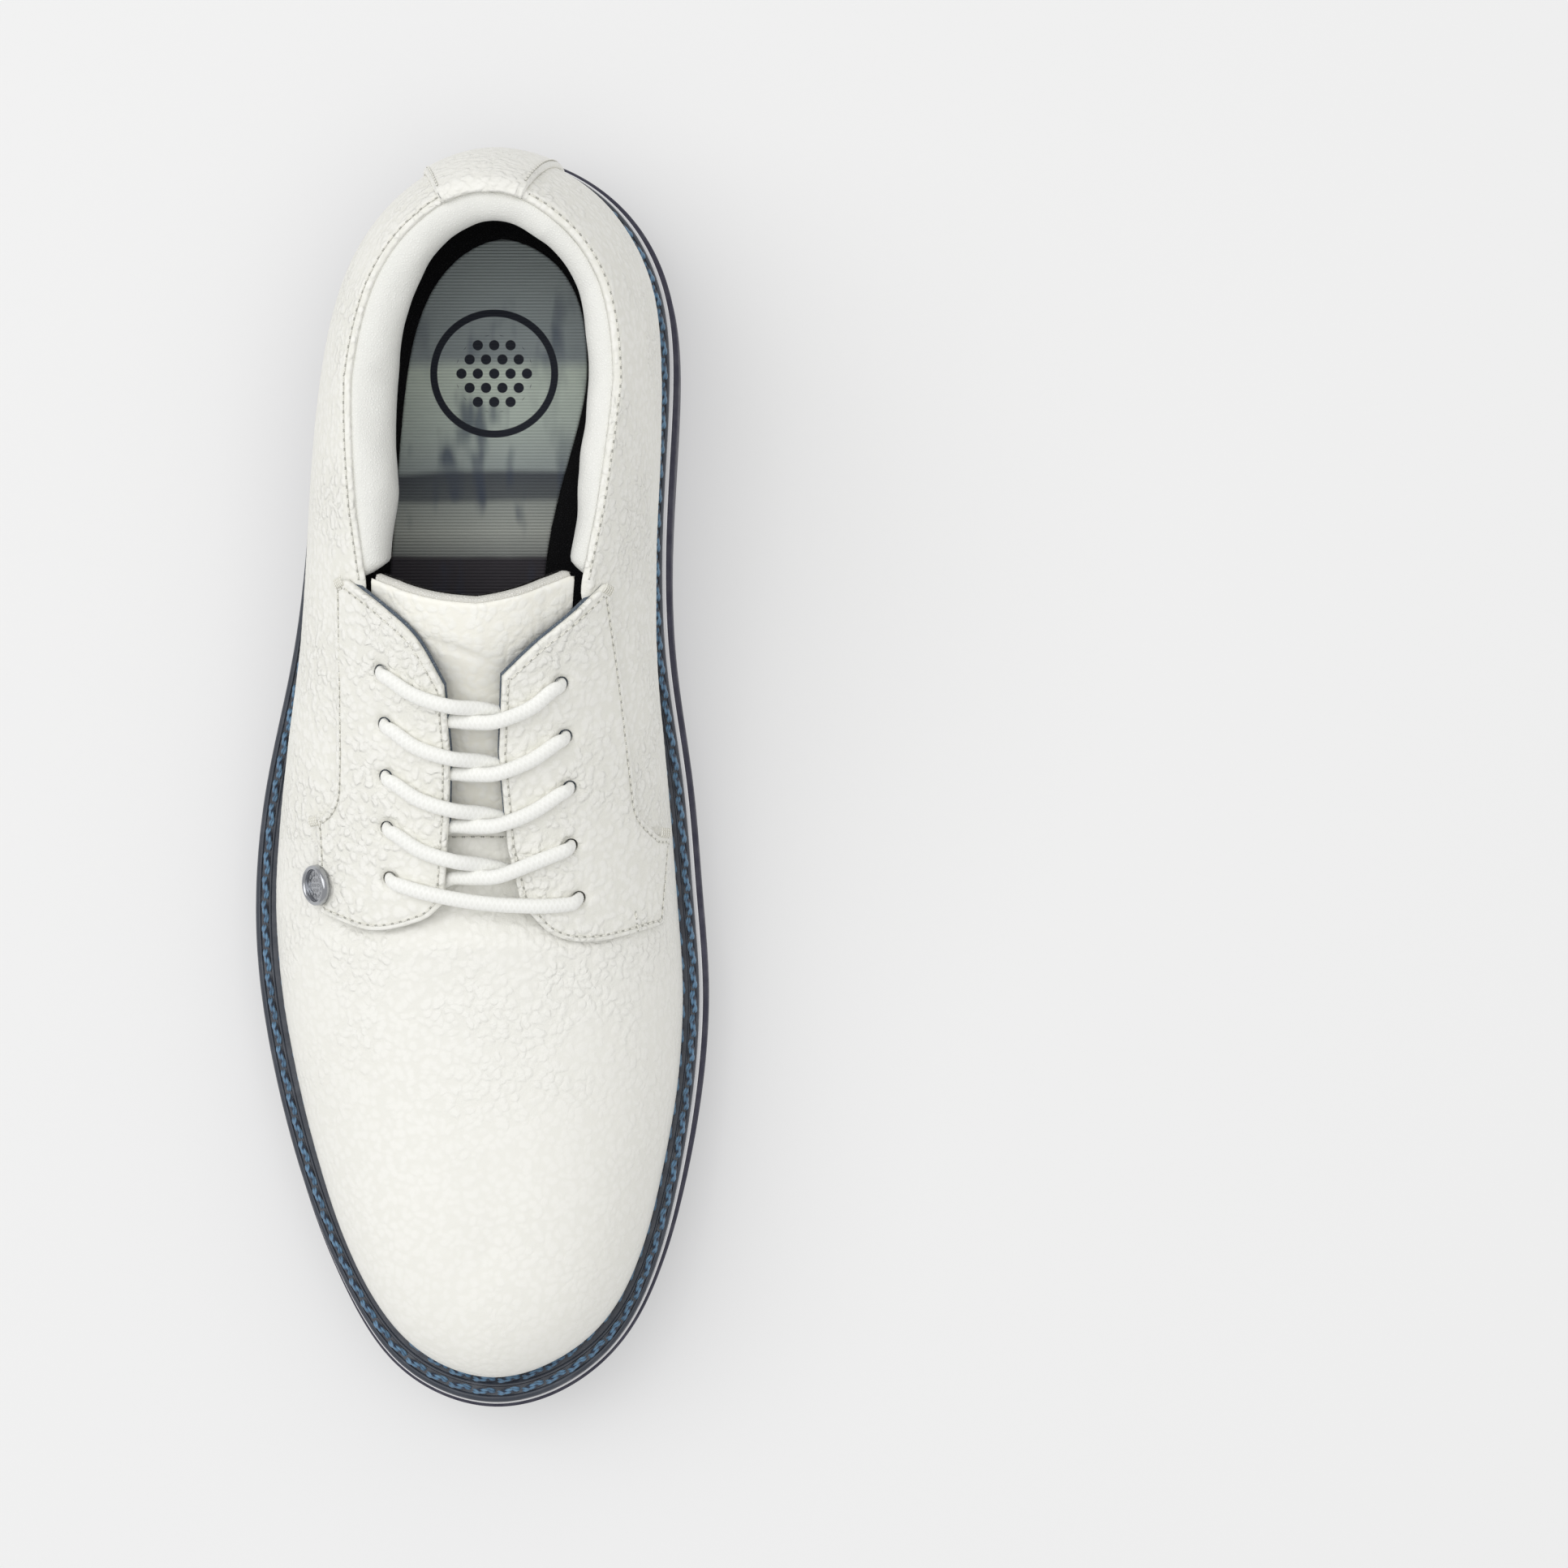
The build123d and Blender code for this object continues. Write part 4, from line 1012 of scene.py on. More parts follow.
def make_quarter(side):
    sign = 1.0 if side == "medial" else -1.0
    w = sign * np.linspace(QUARTER_FRONT, HEEL, 250)
    share = np.linspace(0.0, 1.0, 84)[:, None] ** 0.9
    t = 0.002 + (topline(w) - 0.002) * share
    w = np.tile(w, (len(t), 1))
    front = -0.04 * (1.0 - smoothstep(VAMP_SEAM, VAMP_END, np.abs(w)))
    body = skin(w, t, front)
    relief = grain(body.reshape(-1, 3), 2.1, 0.06) + soft_noise(body.reshape(-1, 3), 22.0, 0.25)
    body = skin(w, t, front + relief.reshape(w.shape) * smoothstep(0.0, 0.04, share))
    turn = np.linspace(0.0, 1.0, 8)[1:, None] * math.radians(78)
    curl = (1.0 - smoothstep(9.1, 9.5, np.abs(w[0]))) * -0.8 + 1.0
    radius = ROLL_RADIUS * curl
    rim_w = np.tile(w[0], (len(turn), 1))
    rim = collar_point(rim_w, radius * (1 - np.cos(turn)), radius * np.sin(turn))
    outer = np.concatenate((body, rim))
    under = skin(w, t, front - LEATHER)
    tucked = collar_point(rim_w, LEATHER + (radius - 0.6) * (1 - np.cos(turn)), (radius - 1.1) * np.sin(turn))
    closed_piece(f"Quarter_{side}", *thick_sheet(outer, np.concatenate((under, tucked))), "pebbled_leather")


def make_lining():
    w = np.linspace(LINING_FRONT, LOOP - LINING_FRONT, 260)
    top = topline(w) - 0.14
    share = np.linspace(0.0, 1.0, 40)[:, None]
    t = 0.03 + (top - 0.03) * share
    w = np.tile(w, (len(t), 1))
    depth = 2.9 + 5.0 * smoothstep(0.6, 1.0, share) * smoothstep(9.3, 10.2, np.minimum(w, LOOP - w))
    slack = soft_noise(upper(w, t).reshape(-1, 3), 16.0, 0.5).reshape(w.shape)
    sheet = thick_sheet(skin(w, t, -depth), skin(w, t, -depth - LINING + slack * 0.6))
    closed_piece("Quarter_lining", *sheet, "black_lining")


# depth inwards and climb over the topline of the padded collar's section, mm
COLLAR_SECTION = (
    (1.9, -19.0), (1.8, -9.0), (1.8, -2.0), (2.0, 0.8), (2.8, 2.0), (5.0, 2.9), (8.0, 2.5), (10.6, 0.5),
    (11.9, -3.5), (11.9, -9.0), (10.4, -15.0), (7.6, -19.6), (4.2, -21.0),
)


# rib and thickness of the collar's padding as a share of the section
COLLAR_FULLNESS = (
    (9.5, 0.70), (10.2, 0.88), (11.5, 0.82), (12.7, 0.76), (14.0, 0.95), (15.3, 1.05), (16.2, 1.18),
    (17.2, 1.38), (18.0, 1.34), (18.5, 0.95),
)


def closed_curve(points, count):
    """Evenly spaced points of a smooth closed curve through the given ones."""
    pts = np.asarray(points, float)
    wide = np.vstack((pts[-2:], pts, pts[:3]))
    line = smooth_line(wide, 0.25)
    start = np.argmin(np.linalg.norm(line[:len(line) // 3] - pts[0], axis=1))
    end = len(line) - 1 - np.argmin(np.linalg.norm(line[:-len(line) // 3:-1] - pts[0], axis=1))
    loop = line[start:end + 1]
    lengths = running(loop)
    return sampled(loop, lengths, np.linspace(0, lengths[-1], count, endpoint=False))


def make_collar():
    """Padded roll round the opening, thinner towards its two front ends."""
    section = closed_curve(COLLAR_SECTION, 56)
    w = np.linspace(COLLAR_START, LOOP - COLLAR_START, 330)
    near = np.minimum(w, LOOP - w) - COLLAR_START
    places, shares = zip(*COLLAR_FULLNESS)
    thick = np.interp(w, places, shares)
    thick = np.convolve(np.pad(thick, 8, mode="edge"), np.full(17, 1 / 17), "valid")
    thick = thick * np.sqrt(np.clip(near / 0.09, 0.02, 1.0))
    middle = np.array((2.0, -6.0))
    depth = middle[0] + (section[:, 0] - middle[0])[None] * thick[:, None]
    climb = middle[1] + (section[:, 1] - middle[1])[None] * np.minimum(0.5 + 0.5 * thick[:, None], 1.05)
    rows = np.tile(w[:, None], (1, len(section)))
    points = collar_point(rows, depth, climb)
    proud = smoothstep(1.9, 5.0, depth)
    pucker = soft_noise(points.reshape(-1, 3), 7.0, 0.35) + soft_noise(points.reshape(-1, 3), 19.0, 0.7)
    lumps = pucker.reshape(depth.shape) * proud
    points = collar_point(rows, depth + 0.6 * lumps, climb + lumps)
    piece = closed_piece("Collar", points.reshape(-1, 3), tube_faces(len(w), len(section)), "collar_cloth",
                         nodes=("collar_lining", "collar_rim", "collar_foam"))


def facing_loop(side):
    """Dense plan outline of a facing."""
    parts = FACING_OUTLINES[side]
    runs = [smooth_line(parts["throat"], 0.7), straight_line(parts["gap"], 0.7),
            smooth_line(parts["foot"], 0.7), straight_line(parts["wing"], 0.7),
            smooth_line(parts["seam"], 0.7), straight_line((parts["seam"][-1], parts["throat"][0]), 0.7)]
    return np.vstack([run[:-1] for run in runs])


def as_ribs(plan):
    """Plan points as scaled (rib, share) points, in which a panel is filled."""
    w, t = find_above(plan)
    return np.column_stack((w, t)) * PLAN_SCALE


def round_hole(x, y, radius, count=18):
    turns = np.linspace(0, 2 * math.pi, count, endpoint=False)
    return np.column_stack((x + radius * np.cos(turns), y + radius * np.sin(turns)))


def eyelet_centre(side, row):
    """Centre of a punched hole, which the lace pulls towards the throat."""
    x, y = EYELETS[side][row]
    return x - math.copysign(0.2, x), y


def make_panel(name, loop, holes, top, bottom, finish, cell=2.1, depth=0.06, spacing=0.85):
    """Leather panel on the upper from outlines in scaled (rib, share) space."""
    scaled, triangles = fill(loop, holes, spacing, (0.12, 0.35, 0.75))
    w, t = (scaled / PLAN_SCALE).T
    surface = skin(w, t, top)
    edge = nearest_distance(surface, closed(skin(*(loop / PLAN_SCALE).T, top)))
    height = top - edge_roll(edge, 0.75) - seam_dip(edge)
    if cell:
        height += (grain(surface, cell, depth) + soft_noise(surface, 18.0, 0.22)) * smoothstep(0.2, 1.5, edge)
    for hole in holes:
        rim = nearest_distance(surface, closed(skin(*(hole / PLAN_SCALE).T, top)))
        height -= edge_roll(rim, 0.4) + 0.35 * np.exp(-((rim / 1.6) ** 2))
    sheet = two_layers(skin(w, t, height), skin(w, t, bottom), triangles)
    closed_piece(name, *sheet, finish)


def make_facing(side):
    loop = as_ribs(facing_loop(side))
    holes = [as_ribs(round_hole(*eyelet_centre(side, row), EYELET_RADIUS)) for row in range(5)]
    make_panel(f"Facing_{side}", loop, holes, FACING_TOP, FACING_LIFT, "pebbled_leather")
    plan = facing_loop(side)
    towards = -1.0 if side == "medial" else 1.0
    reach = smoothstep(20.0, 14.0, np.abs(plan[:, 0]))
    plan = np.column_stack((plan[:, 0] + towards * 0.2 * reach, plan[:, 1]))
    back = plan[plan[:, 1] > -12.0]
    make_panel(f"Facing_backing_{side}", as_ribs(back), [], FACING_LIFT - 0.05, -BACKING + 0.1,
               "backing_cloth", 0.0, 0.0, 1.6)
    return loop


def facing_seams(loop):
    """Stitch spots round a facing, a little inside its edge."""
    line = inset_loop(loop, SEAM_INSET)
    start = int(np.argmax(line[:, 0] * np.sign(line[:, 0])))
    line = np.roll(line, -start, axis=0)
    w, t = (line / PLAN_SCALE).T
    return seam_spots(w, t, FACING_TOP - 0.16)


def tab_half(share):
    """Half the heel tab's width in ribs, at a share of its height."""
    return 0.70 - 0.12 * share


def make_heel_tab():
    """Strap over the rear seam, rolled over the topline and wider at its foot."""
    across = np.linspace(-1.0, 1.0, 48)
    share = np.linspace(0.0, 1.0, 70)[:, None]
    half = tab_half(share)
    w = TAB_MIDDLE + half * across
    t = 0.03 + (topline(w) - 0.03) * share
    edge = half * HEEL_RIB * (1.0 - np.abs(across)) + 0 * share
    thickness = STRAP - edge_roll(edge, 0.8) - seam_dip(edge)
    body = skin(w, t, thickness)
    relief = grain(body.reshape(-1, 3), 2.0, 0.05).reshape(w.shape) * smoothstep(0.3, 1.5, edge)
    body = skin(w, t, thickness + relief)
    turn = np.linspace(0.0, 1.0, 8)[1:, None] * math.radians(80)
    radius = ROLL_RADIUS + 1.2
    rim_w = np.tile(w[-1], (len(turn), 1))
    lift = np.tile(thickness[-1], (len(turn), 1))
    rim = collar_point(rim_w, radius * (1 - np.cos(turn)) - lift, radius * np.sin(turn) * lift / STRAP)
    inner = collar_point(rim_w, ROLL_RADIUS * (1 - np.cos(turn)), ROLL_RADIUS * np.sin(turn) * 0.8)
    sheet = thick_sheet(np.concatenate((body, rim)), np.concatenate((skin(w, t, 0.05), inner)))
    closed_piece("Heel_tab", *sheet, "smooth_leather")
    spots = []
    for end in (-1.0, 1.0):
        line_t = np.linspace(0.06, 0.99, 60)
        line_w = TAB_MIDDLE + end * (tab_half(line_t) - SEAM_INSET / HEEL_RIB)
        spots += seam_spots(line_w, 0.03 + (topline(line_w) - 0.03) * line_t, 1.3)
    return spots


# ---------------------------------------------------------------- the tongue
def tongue_height(w, t):
    """Height of the outside of the tongue against the upper, puffed up between the facings."""
    w = np.abs(w)
    base = TONGUE_DEPTH - TONGUE_FLARE * smoothstep(8.5, 9.3, w) + 1.0 * (1 - smoothstep(7.5, 7.9, w))
    across = np.clip(1.0 - ((t - 1.02) / 0.27) ** 2, 0.0, 1.0)
    return -base + 1.7 * smoothstep(8.6, 9.15, w) * across


def tongue_top(t):
    """Rib at the free edge of the tongue, lowest in the middle."""
    return 9.36 + 0.10 * np.clip(np.abs(t - 1.02) / 0.3, 0.0, 1.2) ** 2


def tongue_layer(name, high, low, reach, finish, cell=0.0):
    """One padded layer of the tongue between two depths under its outside."""
    t = np.linspace(*TONGUE_SPAN, 120)[None, :]
    share = np.linspace(0.0, 1.0, 110)[:, None]
    end = tongue_top(t) + reach / TONGUE_RIB
    w = VAMP_END + (end - VAMP_END) * share
    t = t + 0 * share
    outside = tongue_height(w, t)
    sides = np.minimum(t - TONGUE_SPAN[0], TONGUE_SPAN[1] - t) * TONGUE_SHARE
    edge = np.minimum((end - w) * TONGUE_RIB, sides)
    top = outside - high - edge_roll(edge, min(0.9, (low - high) / 2))
    bottom = outside - low + edge_roll(edge, min(0.9, (low - high) / 2.5))
    points = skin(w, t, top)
    slope = ((w - 8.98) * TONGUE_RIB - 26.0 * (t - 1.05)) / 1.6
    crease = 0.5 * np.exp(-slope ** 2) * np.exp(-(((t - 1.06) / 0.1) ** 2))
    slack = soft_noise(points.reshape(-1, 3), 14.0, 0.35).reshape(w.shape) - crease
    if cell:
        slack = slack + grain(points.reshape(-1, 3), cell, 0.035).reshape(w.shape)
    sheet = thick_sheet(skin(w, t, top + slack), skin(w, t, bottom + slack))
    piece = closed_piece(name, *sheet, finish, None)
    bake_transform(piece)


def make_tongue():
    tongue_layer("Tongue_leather", 0.0, 1.2, 0.0, "tongue_cream", 2.2)
    tongue_layer("Tongue_foam", 1.25, 4.3, 0.5, "foam_white")
    tongue_layer("Tongue_lining", 4.35, 5.2, 0.2, "black_lining")


# ---------------------------------------------------------------- the footbed
def plan_layer(name, loop, top, bottom, finish):
    """Closed plate on the footbed from a plan loop and two height functions."""
    plan, triangles = fill(loop, [], 2.0, (0.25, 0.7, 1.4))
    edge = nearest_distance(plan, closed(loop))
    upper_side = np.column_stack((plan, top(plan, edge)))
    lower_side = np.column_stack((plan, bottom(plan, edge)))
    piece = closed_piece(name, *two_layers(upper_side, lower_side, triangles), finish, "footbed")


def make_footbed():
    around = np.linspace(0, LOOP, 420, endpoint=False)
    top_level = FOOTBED_BASE + FOAM_THICKNESS

    def foam_top(plan, edge):
        wall = 2.6 * (1 - smoothstep(0.5, 9.0, edge)) * smoothstep(-60.0, 20.0, plan[:, 1])
        pocket = 0.75 * inside(plan, cover_loop)
        return seat_line(plan[:, 1]) + top_level + wall - pocket - edge_roll(edge, 1.2)

    def foam_bottom(plan, edge):
        return seat_line(plan[:, 1]) + FOOTBED_BASE + 0.5 * edge_roll(edge, 1.2)

    def cover_top(plan, edge):
        rumple = soft_noise(np.column_stack((plan, 0 * edge)), 30.0, 0.4)
        return seat_line(plan[:, 1]) + top_level + 0.15 + rumple - edge_roll(edge, 0.4)

    def cover_bottom(plan, edge):
        return seat_line(plan[:, 1]) + top_level - 0.7

    arch = ARCH_INSET * smoothstep(6.0, 7.5, around) * (1.0 - smoothstep(9.4, 11.2, around))
    cover_loop = sole_edge(around, -COVER_INSET - arch)
    foam_loop = sole_edge(around, np.full(len(around), -SOCKLINER_INSET))
    plan_layer("Sockliner_foam", foam_loop, foam_top, foam_bottom, "foam_black")
    plan_layer("Sockliner_cover", cover_loop, cover_top, cover_bottom, "footbed_print")


# ---------------------------------------------------------------- the sole
# offset from the feather edge, height over the welt line
WELT_PROFILE = (
    (-2.0, -3.55), (4.3, -3.55), (4.75, -3.1), (4.8, -1.1), (4.6, -0.55), (4.2, -0.12), (3.9, 0.0),
    (3.75, -0.06), (3.6, -0.5), (2.2, -0.5), (2.05, -0.06), (1.85, 0.0), (1.65, -0.06), (1.5, -0.4),
    (0.25, -0.4), (0.1, -0.1), (-0.1, 0.0), (-2.0, 0.0),
)
STRIP_PROFILE = ((2.5, -5.15), (5.1, -5.15), (5.3, -4.95), (5.3, -3.85), (5.1, -3.65), (2.5, -3.65))
# offset from the feather edge, height over the welt line down the side of the outsole
OUTSOLE_TOP = -5.25
OUTSOLE_SIDE = (
    (5.2, OUTSOLE_TOP), (5.75, -5.35), (6.0, -5.75), (6.0, -7.6), (5.65, -7.9), (5.65, -8.4), (6.0, -8.7),
)
OUTSOLE_FOOT = ((6.0, 1.0), (5.75, 0.3), (5.1, 0.0))     # height over the underside


def sole_point(w, offset, height, line, lean=0.0):
    """Sole points at an offset from the feather edge and a height over one of its lines."""
    plan = sole_edge(w, offset + lean * outer_side(w))
    return np.column_stack((plan, line(plan[:, 1]) + height))


def make_sole_ring(name, profile, lean, finish):
    """Ring swept round the shoe with a closed profile that leans out on the outer side."""
    w = np.linspace(0, LOOP, 900, endpoint=False)
    reach = max(offset for offset, _ in profile)
    rows = [sole_point(w, offset, height, seat_line, lean * np.clip(offset / reach, 0, 1))
            for offset, height in profile]
    points = np.stack(rows, axis=1).reshape(-1, 3)
    closed_piece(name, points, grid_faces(len(w), len(profile), True, True), finish, angle=50)


def make_outsole():
    end = 0.3    # ribs at the toe and the heel that get closer rows
    w = np.concatenate((np.linspace(0, end, 14)[:-1], np.linspace(end, HEEL - end, 420),
                        np.linspace(HEEL - end, HEEL, 14)[1:]))
    sides = []
    for sign in (1.0, -1.0):
        side = [sole_point(sign * w, offset, height, seat_line) for offset, height in OUTSOLE_SIDE]
        side += [sole_point(sign * w, offset, height, bottom_line) for offset, height in OUTSOLE_FOOT]
        sides.append(side)
    shares = np.linspace(0, 1, 40)[1:-1]

    def ruled(first, last, line, height):
        rows = [first + (last - first) * share for share in shares]
        return [np.column_stack((row[:, :2], line(row[:, 1]) + height)) for row in rows]

    section = sides[0] + ruled(sides[0][-1], sides[1][-1], bottom_line, 0.0)
    section += list(reversed(sides[1])) + ruled(sides[1][0], sides[0][0], seat_line, OUTSOLE_TOP)
    points = np.stack(section, axis=1).reshape(-1, 3)
    faces = grid_faces(len(w), len(section), wrap_columns=True)
    closed_piece("Outsole", points, faces, "outsole_navy", reach=0.00003, angle=40)


def solids_of(node):
    """Box middle and radius in metres of each separate solid of a CAD node."""
    mesh = bmesh.new()
    mesh.from_mesh(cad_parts[node].data)
    bmesh.ops.remove_doubles(mesh, verts=mesh.verts, dist=1e-6)
    left = set(mesh.verts)
    found = []
    while left:
        stack, group = [left.pop()], []
        while stack:
            vert = stack.pop()
            group.append(tuple(vert.co))
            near = [edge.other_vert(vert) for edge in vert.link_edges]
            fresh = [other for other in near if other in left]
            left.difference_update(fresh)
            stack += fresh
        corners = np.array(group)
        low, high = corners.min(axis=0), corners.max(axis=0)
        found.append(((low + high) / 2, (high[0] - low[0]) / 2))
    mesh.free()
    return sorted(found, key=lambda one: tuple(one[0]))


def lathe(profile, count):
    """Points and faces of a shape turned about z from (radius, height) pairs, its ends closed."""
    turns = np.linspace(0, 2 * math.pi, count, endpoint=False)
    rings = [np.column_stack((r * np.cos(turns), r * np.sin(turns), np.full(count, z))) for r, z in profile]
    return np.vstack(rings), tube_faces(len(profile), count)


def make_tread(name, rings):
    """Round tread pieces with bevelled feet and moulded ring grooves."""
    points, faces, start = [], [], 0
    for middle, radius in solids_of(name.lower()):
        x, y, _ = middle * 1000 + SHIFT
        radius *= 1000
        foot = float(toe_spring(y))
        height = float(bottom_line(y)) + 0.4 - foot
        profile = [(0.02, 0.0)]
        for ring in rings:
            profile += [(r * radius, z) for r, z in ((ring - 0.05, 0.0), (ring - 0.03, 0.9),
                                                     (ring + 0.03, 0.9), (ring + 0.05, 0.0))]
        profile += [(radius - 0.7, 0.0), (radius - 0.2, 0.2), (radius, 0.7), (radius, height), (0.02, height)]
        part, ring_faces = lathe(profile, 40)
        points.append(part + (x, y, foot))
        faces += [tuple(i + start for i in face) for face in ring_faces]
        start += len(part)
    closed_piece(name, np.vstack(points), faces, "lug_navy", angle=30)


def welt_spots(offset, lift, pitch, lean, tuck):
    """Spots of one welt row; tuck draws it in under the upper along both sides."""
    w = np.linspace(0, LOOP, 2400)
    tucked = tuck * smoothstep(0.3, 2.0, np.minimum(w, LOOP - w))
    line = sole_point(w, offset - tucked, lift, seat_line, lean)
    return spots_along(line, np.tile((0.0, 0.0, 1.0), (len(line), 1)), pitch)


def make_welt_stitches():
    template = strand_template(5.7, 1.4, 1.2, 3, 17, 6, 0.9, 0.7)
    rows = (("outer", OUTER_STITCH, STITCH_LEAN, 0.0), ("inner", INNER_STITCH, 0.0, INNER_TUCK))
    for name, offset, lean, tuck in rows:
        spots = welt_spots(offset, -WELT_SINK, WELT_PITCH, lean, tuck)
        piece = lay_stitches(f"Welt_stitches_{name}", spots, template, "stitch_blue")
        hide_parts(f"welt_stitches_{name}")


# ---------------------------------------------------------------- the lace
LACE_OVER = FACING_TOP + LACE_HEIGHT / 2 + 0.1
LACE_UNDER = -BACKING - LACE_HEIGHT / 2 - 0.2
LACE_ENDS = {
    "lateral": ((-25.0, 22.5), (-28.5, 17.5), (-30.0, 9.0)),
    "medial": ((27.0, 20.0), (30.5, 15.0), (32.0, 7.0)),
}


def through_eyelet(side, row):
    """Lace stations over, in and under an eyelet: x, y, lift and share of the full width."""
    x, y = EYELETS[side][row]
    inward = -math.copysign(1.0, x)
    return [(x + 3.2 * inward, y - 1.0, LACE_OVER - 0.1, 0.95),
            (x + 1.3 * inward, y - 0.4, LACE_OVER - 0.8, 0.85),
            (x + 0.1 * inward, y, 0.4, 0.72), (x + 1.6 * inward, y - 0.6, LACE_UNDER, 0.8)]


def lace_half(side):
    """Stations from the bottom eyelet of one side up the rows, and to the tucked-in end."""
    stations = through_eyelet(side, 4)
    for row in (3, 2, 1, 0):
        y = EYELETS["lateral"][row][1]
        if side == "lateral":
            stations += [(-8.5, y - 13.6, LACE_UNDER, 1.0), (-4.0, y - 12.2, -0.9, 0.9),
                         (1.0, y - 11.6, 0.9, 1.0), (6.5, y - 10.4, LACE_OVER, 1.0),
                         (13.5, y - 7.6, LACE_OVER, 1.0)]
            side = "medial"
        else:
            stations += [(14.0, y - 12.4, LACE_UNDER, 1.0), (8.6, y - 10.4, -1.2, 0.9),
                         (3.0, y - 8.8, 0.2, 1.0), (-3.4, y - 7.0, LACE_OVER - 0.2, 1.0),
                         (-10.5, y - 4.6, LACE_OVER, 1.0)]
            side = "lateral"
        stations += through_eyelet(side, row)
    return stations + [(x, y, LACE_UNDER, 1.0) for x, y in LACE_ENDS[side]]


def make_lace():
    """The whole lace: a flat-oval braid through all ten eyelets."""
    bar = [(-9.0, -25.6, LACE_OVER, 1.0), (2.0, -27.8, LACE_OVER - 0.4, 1.0), (14.0, -28.6, LACE_OVER, 1.0)]
    stations = np.array(list(reversed(lace_half("lateral"))) + bar + lace_half("medial"))
    w, t = find_above(stations[:, :2])
    controls = np.column_stack((skin(w, t, stations[:, 2]), 3.0 * normals(w, t), stations[:, 3]))
    line = smooth_line(controls, 0.55)
    path, facing, width = line[:, :3], line[:, 3:6], line[:, 6]
    sides = 14
    rings = tube_points(path, facing, LACE_WIDTH * width, LACE_HEIGHT * np.sqrt(width), sides)
    piece = new_piece("Lace", rings.reshape(-1, 3), tube_faces(len(path), sides), "lace_white")
    turns = 4 * np.tile(np.arange(sides) / sides, len(path))
    store_spun(piece, np.column_stack((np.repeat(running(path), sides), turns)))
    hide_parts("lace")


# ---------------------------------------------------------------- the badge
def make_badge():
    """Chrome stud: a raised rim round a dimpled ball face."""
    w, t = find_above(BADGE_CENTRE)
    normal = normals(w, t) + BADGE_TILT
    normal /= np.linalg.norm(normal)
    centre = skin(w, t, FACING_TOP - 0.1)
    side = np.cross((0.0, 1.0, 0.0), normal)
    side /= np.linalg.norm(side)
    axes = np.stack((side, np.cross(normal, side), normal))
    r = BADGE_RADIUS
    rim = ((r - 1.15, 0.2), (r - 1.1, 1.5), (r - 0.8, 1.85), (r - 0.4, 1.85), (r - 0.1, 1.5),
           (r, 0.9), (r, 0.0))
    turns = np.linspace(0, 2 * math.pi, 64, endpoint=False)
    ring = [np.column_stack((a * np.cos(turns), a * np.sin(turns), np.full(64, b))) for a, b in rim]
    ring = np.stack(ring, axis=1).reshape(-1, 3)
    closed_piece("Badge_bezel", centre + ring @ axes, grid_faces(64, len(rim), True, True), "badge_chrome")
    radii = np.linspace(0.02, r - 1.05, 40)[:, None]
    x, y = radii * np.cos(turns), radii * np.sin(turns)
    height = 1.0 - 0.55 * (radii / r) ** 2 + 0 * x
    spots = [(0.0, 0.0)]
    spots += [(1.35 * math.cos(a), 1.35 * math.sin(a)) for a in np.arange(6) * math.pi / 3]
    spots += [(2.7 * math.cos(a), 2.7 * math.sin(a)) for a in np.arange(12) * math.pi / 6 + math.pi / 12]
    for spot_x, spot_y in spots:
        height = height - 0.32 * np.exp(-(((x - spot_x) ** 2 + (y - spot_y) ** 2) / 0.24))
    disc = np.stack((x, y, height), axis=-1).reshape(-1, 3)
    foot = np.column_stack((x[-1], y[-1], np.zeros(64)))
    points = np.vstack((disc, foot))
    closed_piece("Badge_face", centre + points @ axes, tube_faces(41, 64), "badge_chrome")


# ---------------------------------------------------------------- the seams
# x, y and turn of the dense stitch blocks at the ends of the seams
BAR_TACKS = ((-36.0, -9.6, 0.2), (42.6, -12.6, -0.2), (-27.6, 45.0, 0.5), (31.0, 43.6, -0.6))


def bar_tack(x, y, angle, count=5):
    """Short dense block of stitches across the end of a seam."""
    spots = []
    along = np.array((math.cos(angle), math.sin(angle)))
    for k in range(count):
        spot = np.array((x, y)) + (k - (count - 1) / 2) * 0.42 * along
        w, t = find_above(spot)
        normal = normals(w, t)
        spots.append((skin(w, t, FACING_TOP + 0.05), np.array((-along[1], along[0], 0.0)), normal))
    return spots


def make_seams(loops, tab_spots):
    spots = list(tab_spots)
    for loop in loops:
        spots += facing_seams(loop)
    w = np.linspace(COLLAR_START, LOOP - COLLAR_START, 900)
    w = w[np.abs(w - HEEL) > 0.55]
    angle = math.radians(38)
    line = collar_point(w, ROLL_RADIUS * (1 - math.cos(angle)) + 0 * w, ROLL_RADIUS * math.sin(angle) + 0 * w)
    normal, up = collar_frame(w)
    facing = normal * math.cos(angle) + up * math.sin(angle)
    half = len(w) // 2
    for part in (slice(0, half), slice(half, None)):
        spots += spots_along(line[part] + 0.02 * facing[part], facing[part], SEAM_PITCH)
    t = np.linspace(0.74, 1.26, 90)
    spots += seam_spots(np.full(90, VAMP_SEAM), t, -throat_dip(VAMP_SEAM, 0.9) + 0.02 + 0 * t)
    line = smooth_line(((36.2, -30.5), (36.9, -36.2)), 0.5)
    w, t = find_above(line)
    spots += seam_spots(w, t, FACING_TOP)
    lay_one = strand_template(1.6, 0.42, 0.32, 1, 7)
    lay_stitches("Seam_stitches", spots, lay_one, "seam_thread")
    tacks = []
    for x, y, angle in BAR_TACKS:
        tacks += bar_tack(x, y, angle)
    lay_stitches("Bar_tacks", tacks, strand_template(2.5, 0.46, 0.5, 1, 7), "seam_thread")
    # grey marks of painted shade where the needle holes are
    lay_holes("Needle_hole_shades", spots, SEAM_HOLES)


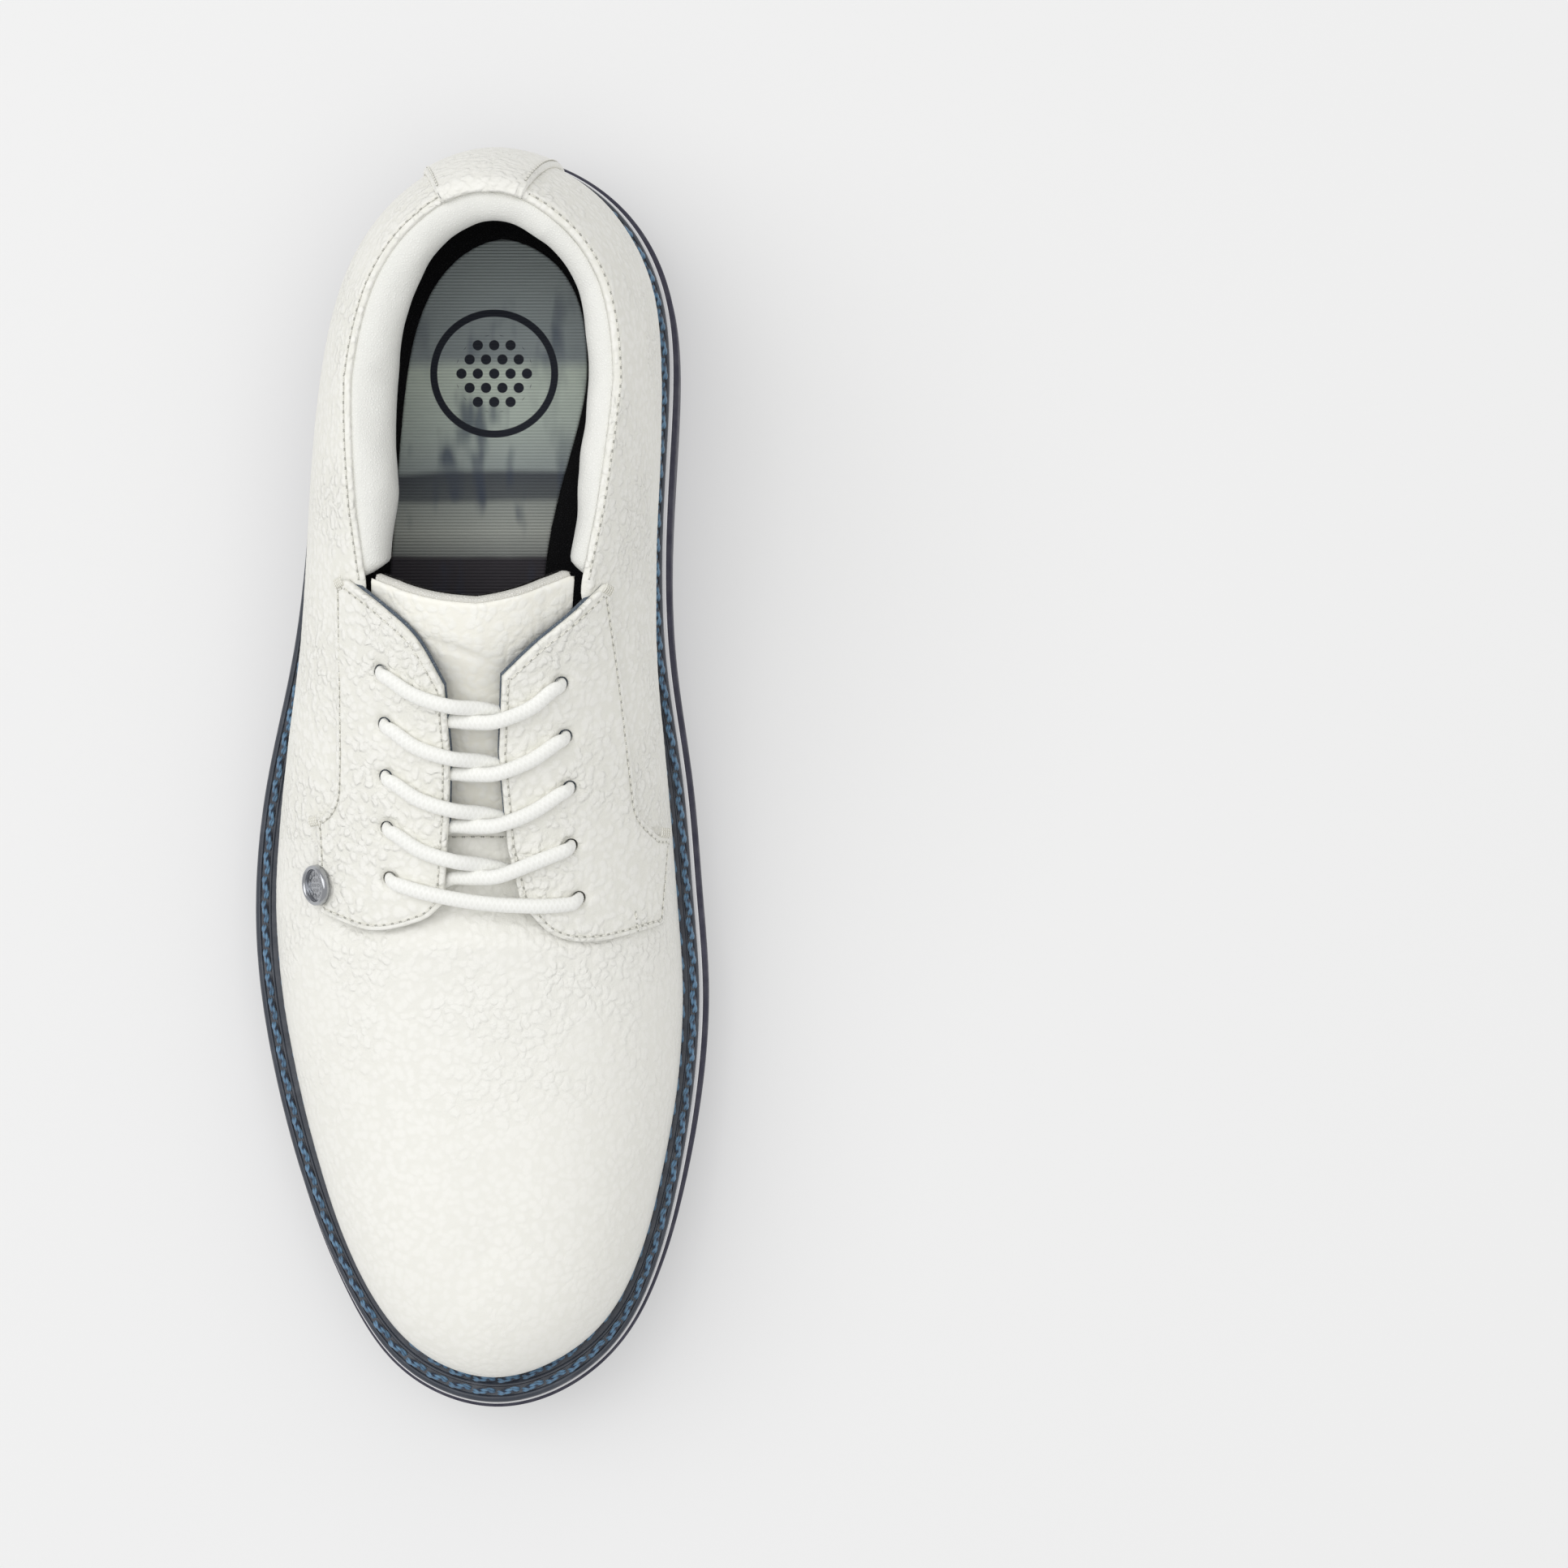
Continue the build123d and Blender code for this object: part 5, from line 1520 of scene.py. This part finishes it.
# ---------------------------------------------------------------- camera, floor and light
CAMERA_SPOT = (72.4, -1.2, 1100.0)    # mm: over the pair's middle, as in the photo
LENS = 102.4


def make_studio():
    camera = bpy.data.objects.new("Camera", bpy.data.cameras.new("Camera"))
    camera.location = place(CAMERA_SPOT)
    camera.data.sensor_width = 36.0
    camera.data.lens = LENS
    bpy.context.collection.objects.link(camera)
    bpy.context.scene.camera = camera

    floor_finish = Finish("floor", (190, 190, 190), 0.9, Specular_IOR_Level=0.1, Emission_Strength=0.36)
    floor_finish.bump(floor_finish.noise(30.0, 2.0), 0.02)
    mesh = bpy.data.meshes.new("Floor")
    size = 6.0    # metres from the middle to the floor's edge
    corners = [(-size, -size, 0), (size, -size, 0), (size, size, 0), (-size, size, 0)]
    mesh.from_pydata(corners, [], [(0, 1, 2, 3)])
    mesh.materials.append(floor_finish.material)
    floor = bpy.data.objects.new("Floor", mesh)
    bpy.context.collection.objects.link(floor)

    lamps = (
        ("Key", (-1.3, 0.5, 1.9), 1.6, 14.0),
        ("Top", (0.0, 0.2, 2.4), 2.0, 17.0),
    )
    for name, location, width, power in lamps:
        light = bpy.data.lights.new(name, "AREA")
        light.size = width
        light.energy = power
        lamp = bpy.data.objects.new(name, light)
        lamp.location = location
        lamp.rotation_euler = (Vector((0.0, 0.0, 0.03)) - lamp.location).to_track_quat("-Z", "Y").to_euler()
        bpy.context.collection.objects.link(lamp)
    world = bpy.data.worlds.new("Studio")
    world.use_nodes = True
    world.node_tree.nodes["Background"].inputs["Color"].default_value = (1.0, 1.0, 1.0, 1.0)
    world.node_tree.nodes["Background"].inputs["Strength"].default_value = 0.58
    bpy.context.scene.world = world
    bpy.context.scene.view_settings.view_transform = "Standard"


# ---------------------------------------------------------------- the shoe
def make_shoe():
    dress_nodes({
        "bottom_filler": "cork", "shank": "steel", "insole_board": "board", "toe_puff": "stiffener",
        "heel_counter": "stiffener", "badge_post": "steel", "lace_tips": "tip_clear",
    })
    make_vamp()
    for side in ("lateral", "medial"):
        make_quarter(side)
    make_lining()
    make_collar()
    loops = [make_facing(side) for side in ("lateral", "medial")]
    tab_spots = make_heel_tab()
    make_tongue()
    make_footbed()
    make_sole_ring("Welt", WELT_PROFILE, WELT_LEAN, "welt_navy")
    make_sole_ring("Midsole_strip", STRIP_PROFILE, STRIP_LEAN, "strip_white")
    make_outsole()
    for name, rings in (("Tread_pads", (0.35, 0.65)), ("Heel_lugs", (0.45,)), ("Forefoot_lugs", (0.45,))):
        make_tread(name, rings)
    make_welt_stitches()
    make_lace()
    make_badge()
    make_seams(loops, tab_spots)


make_shoe()
make_studio()
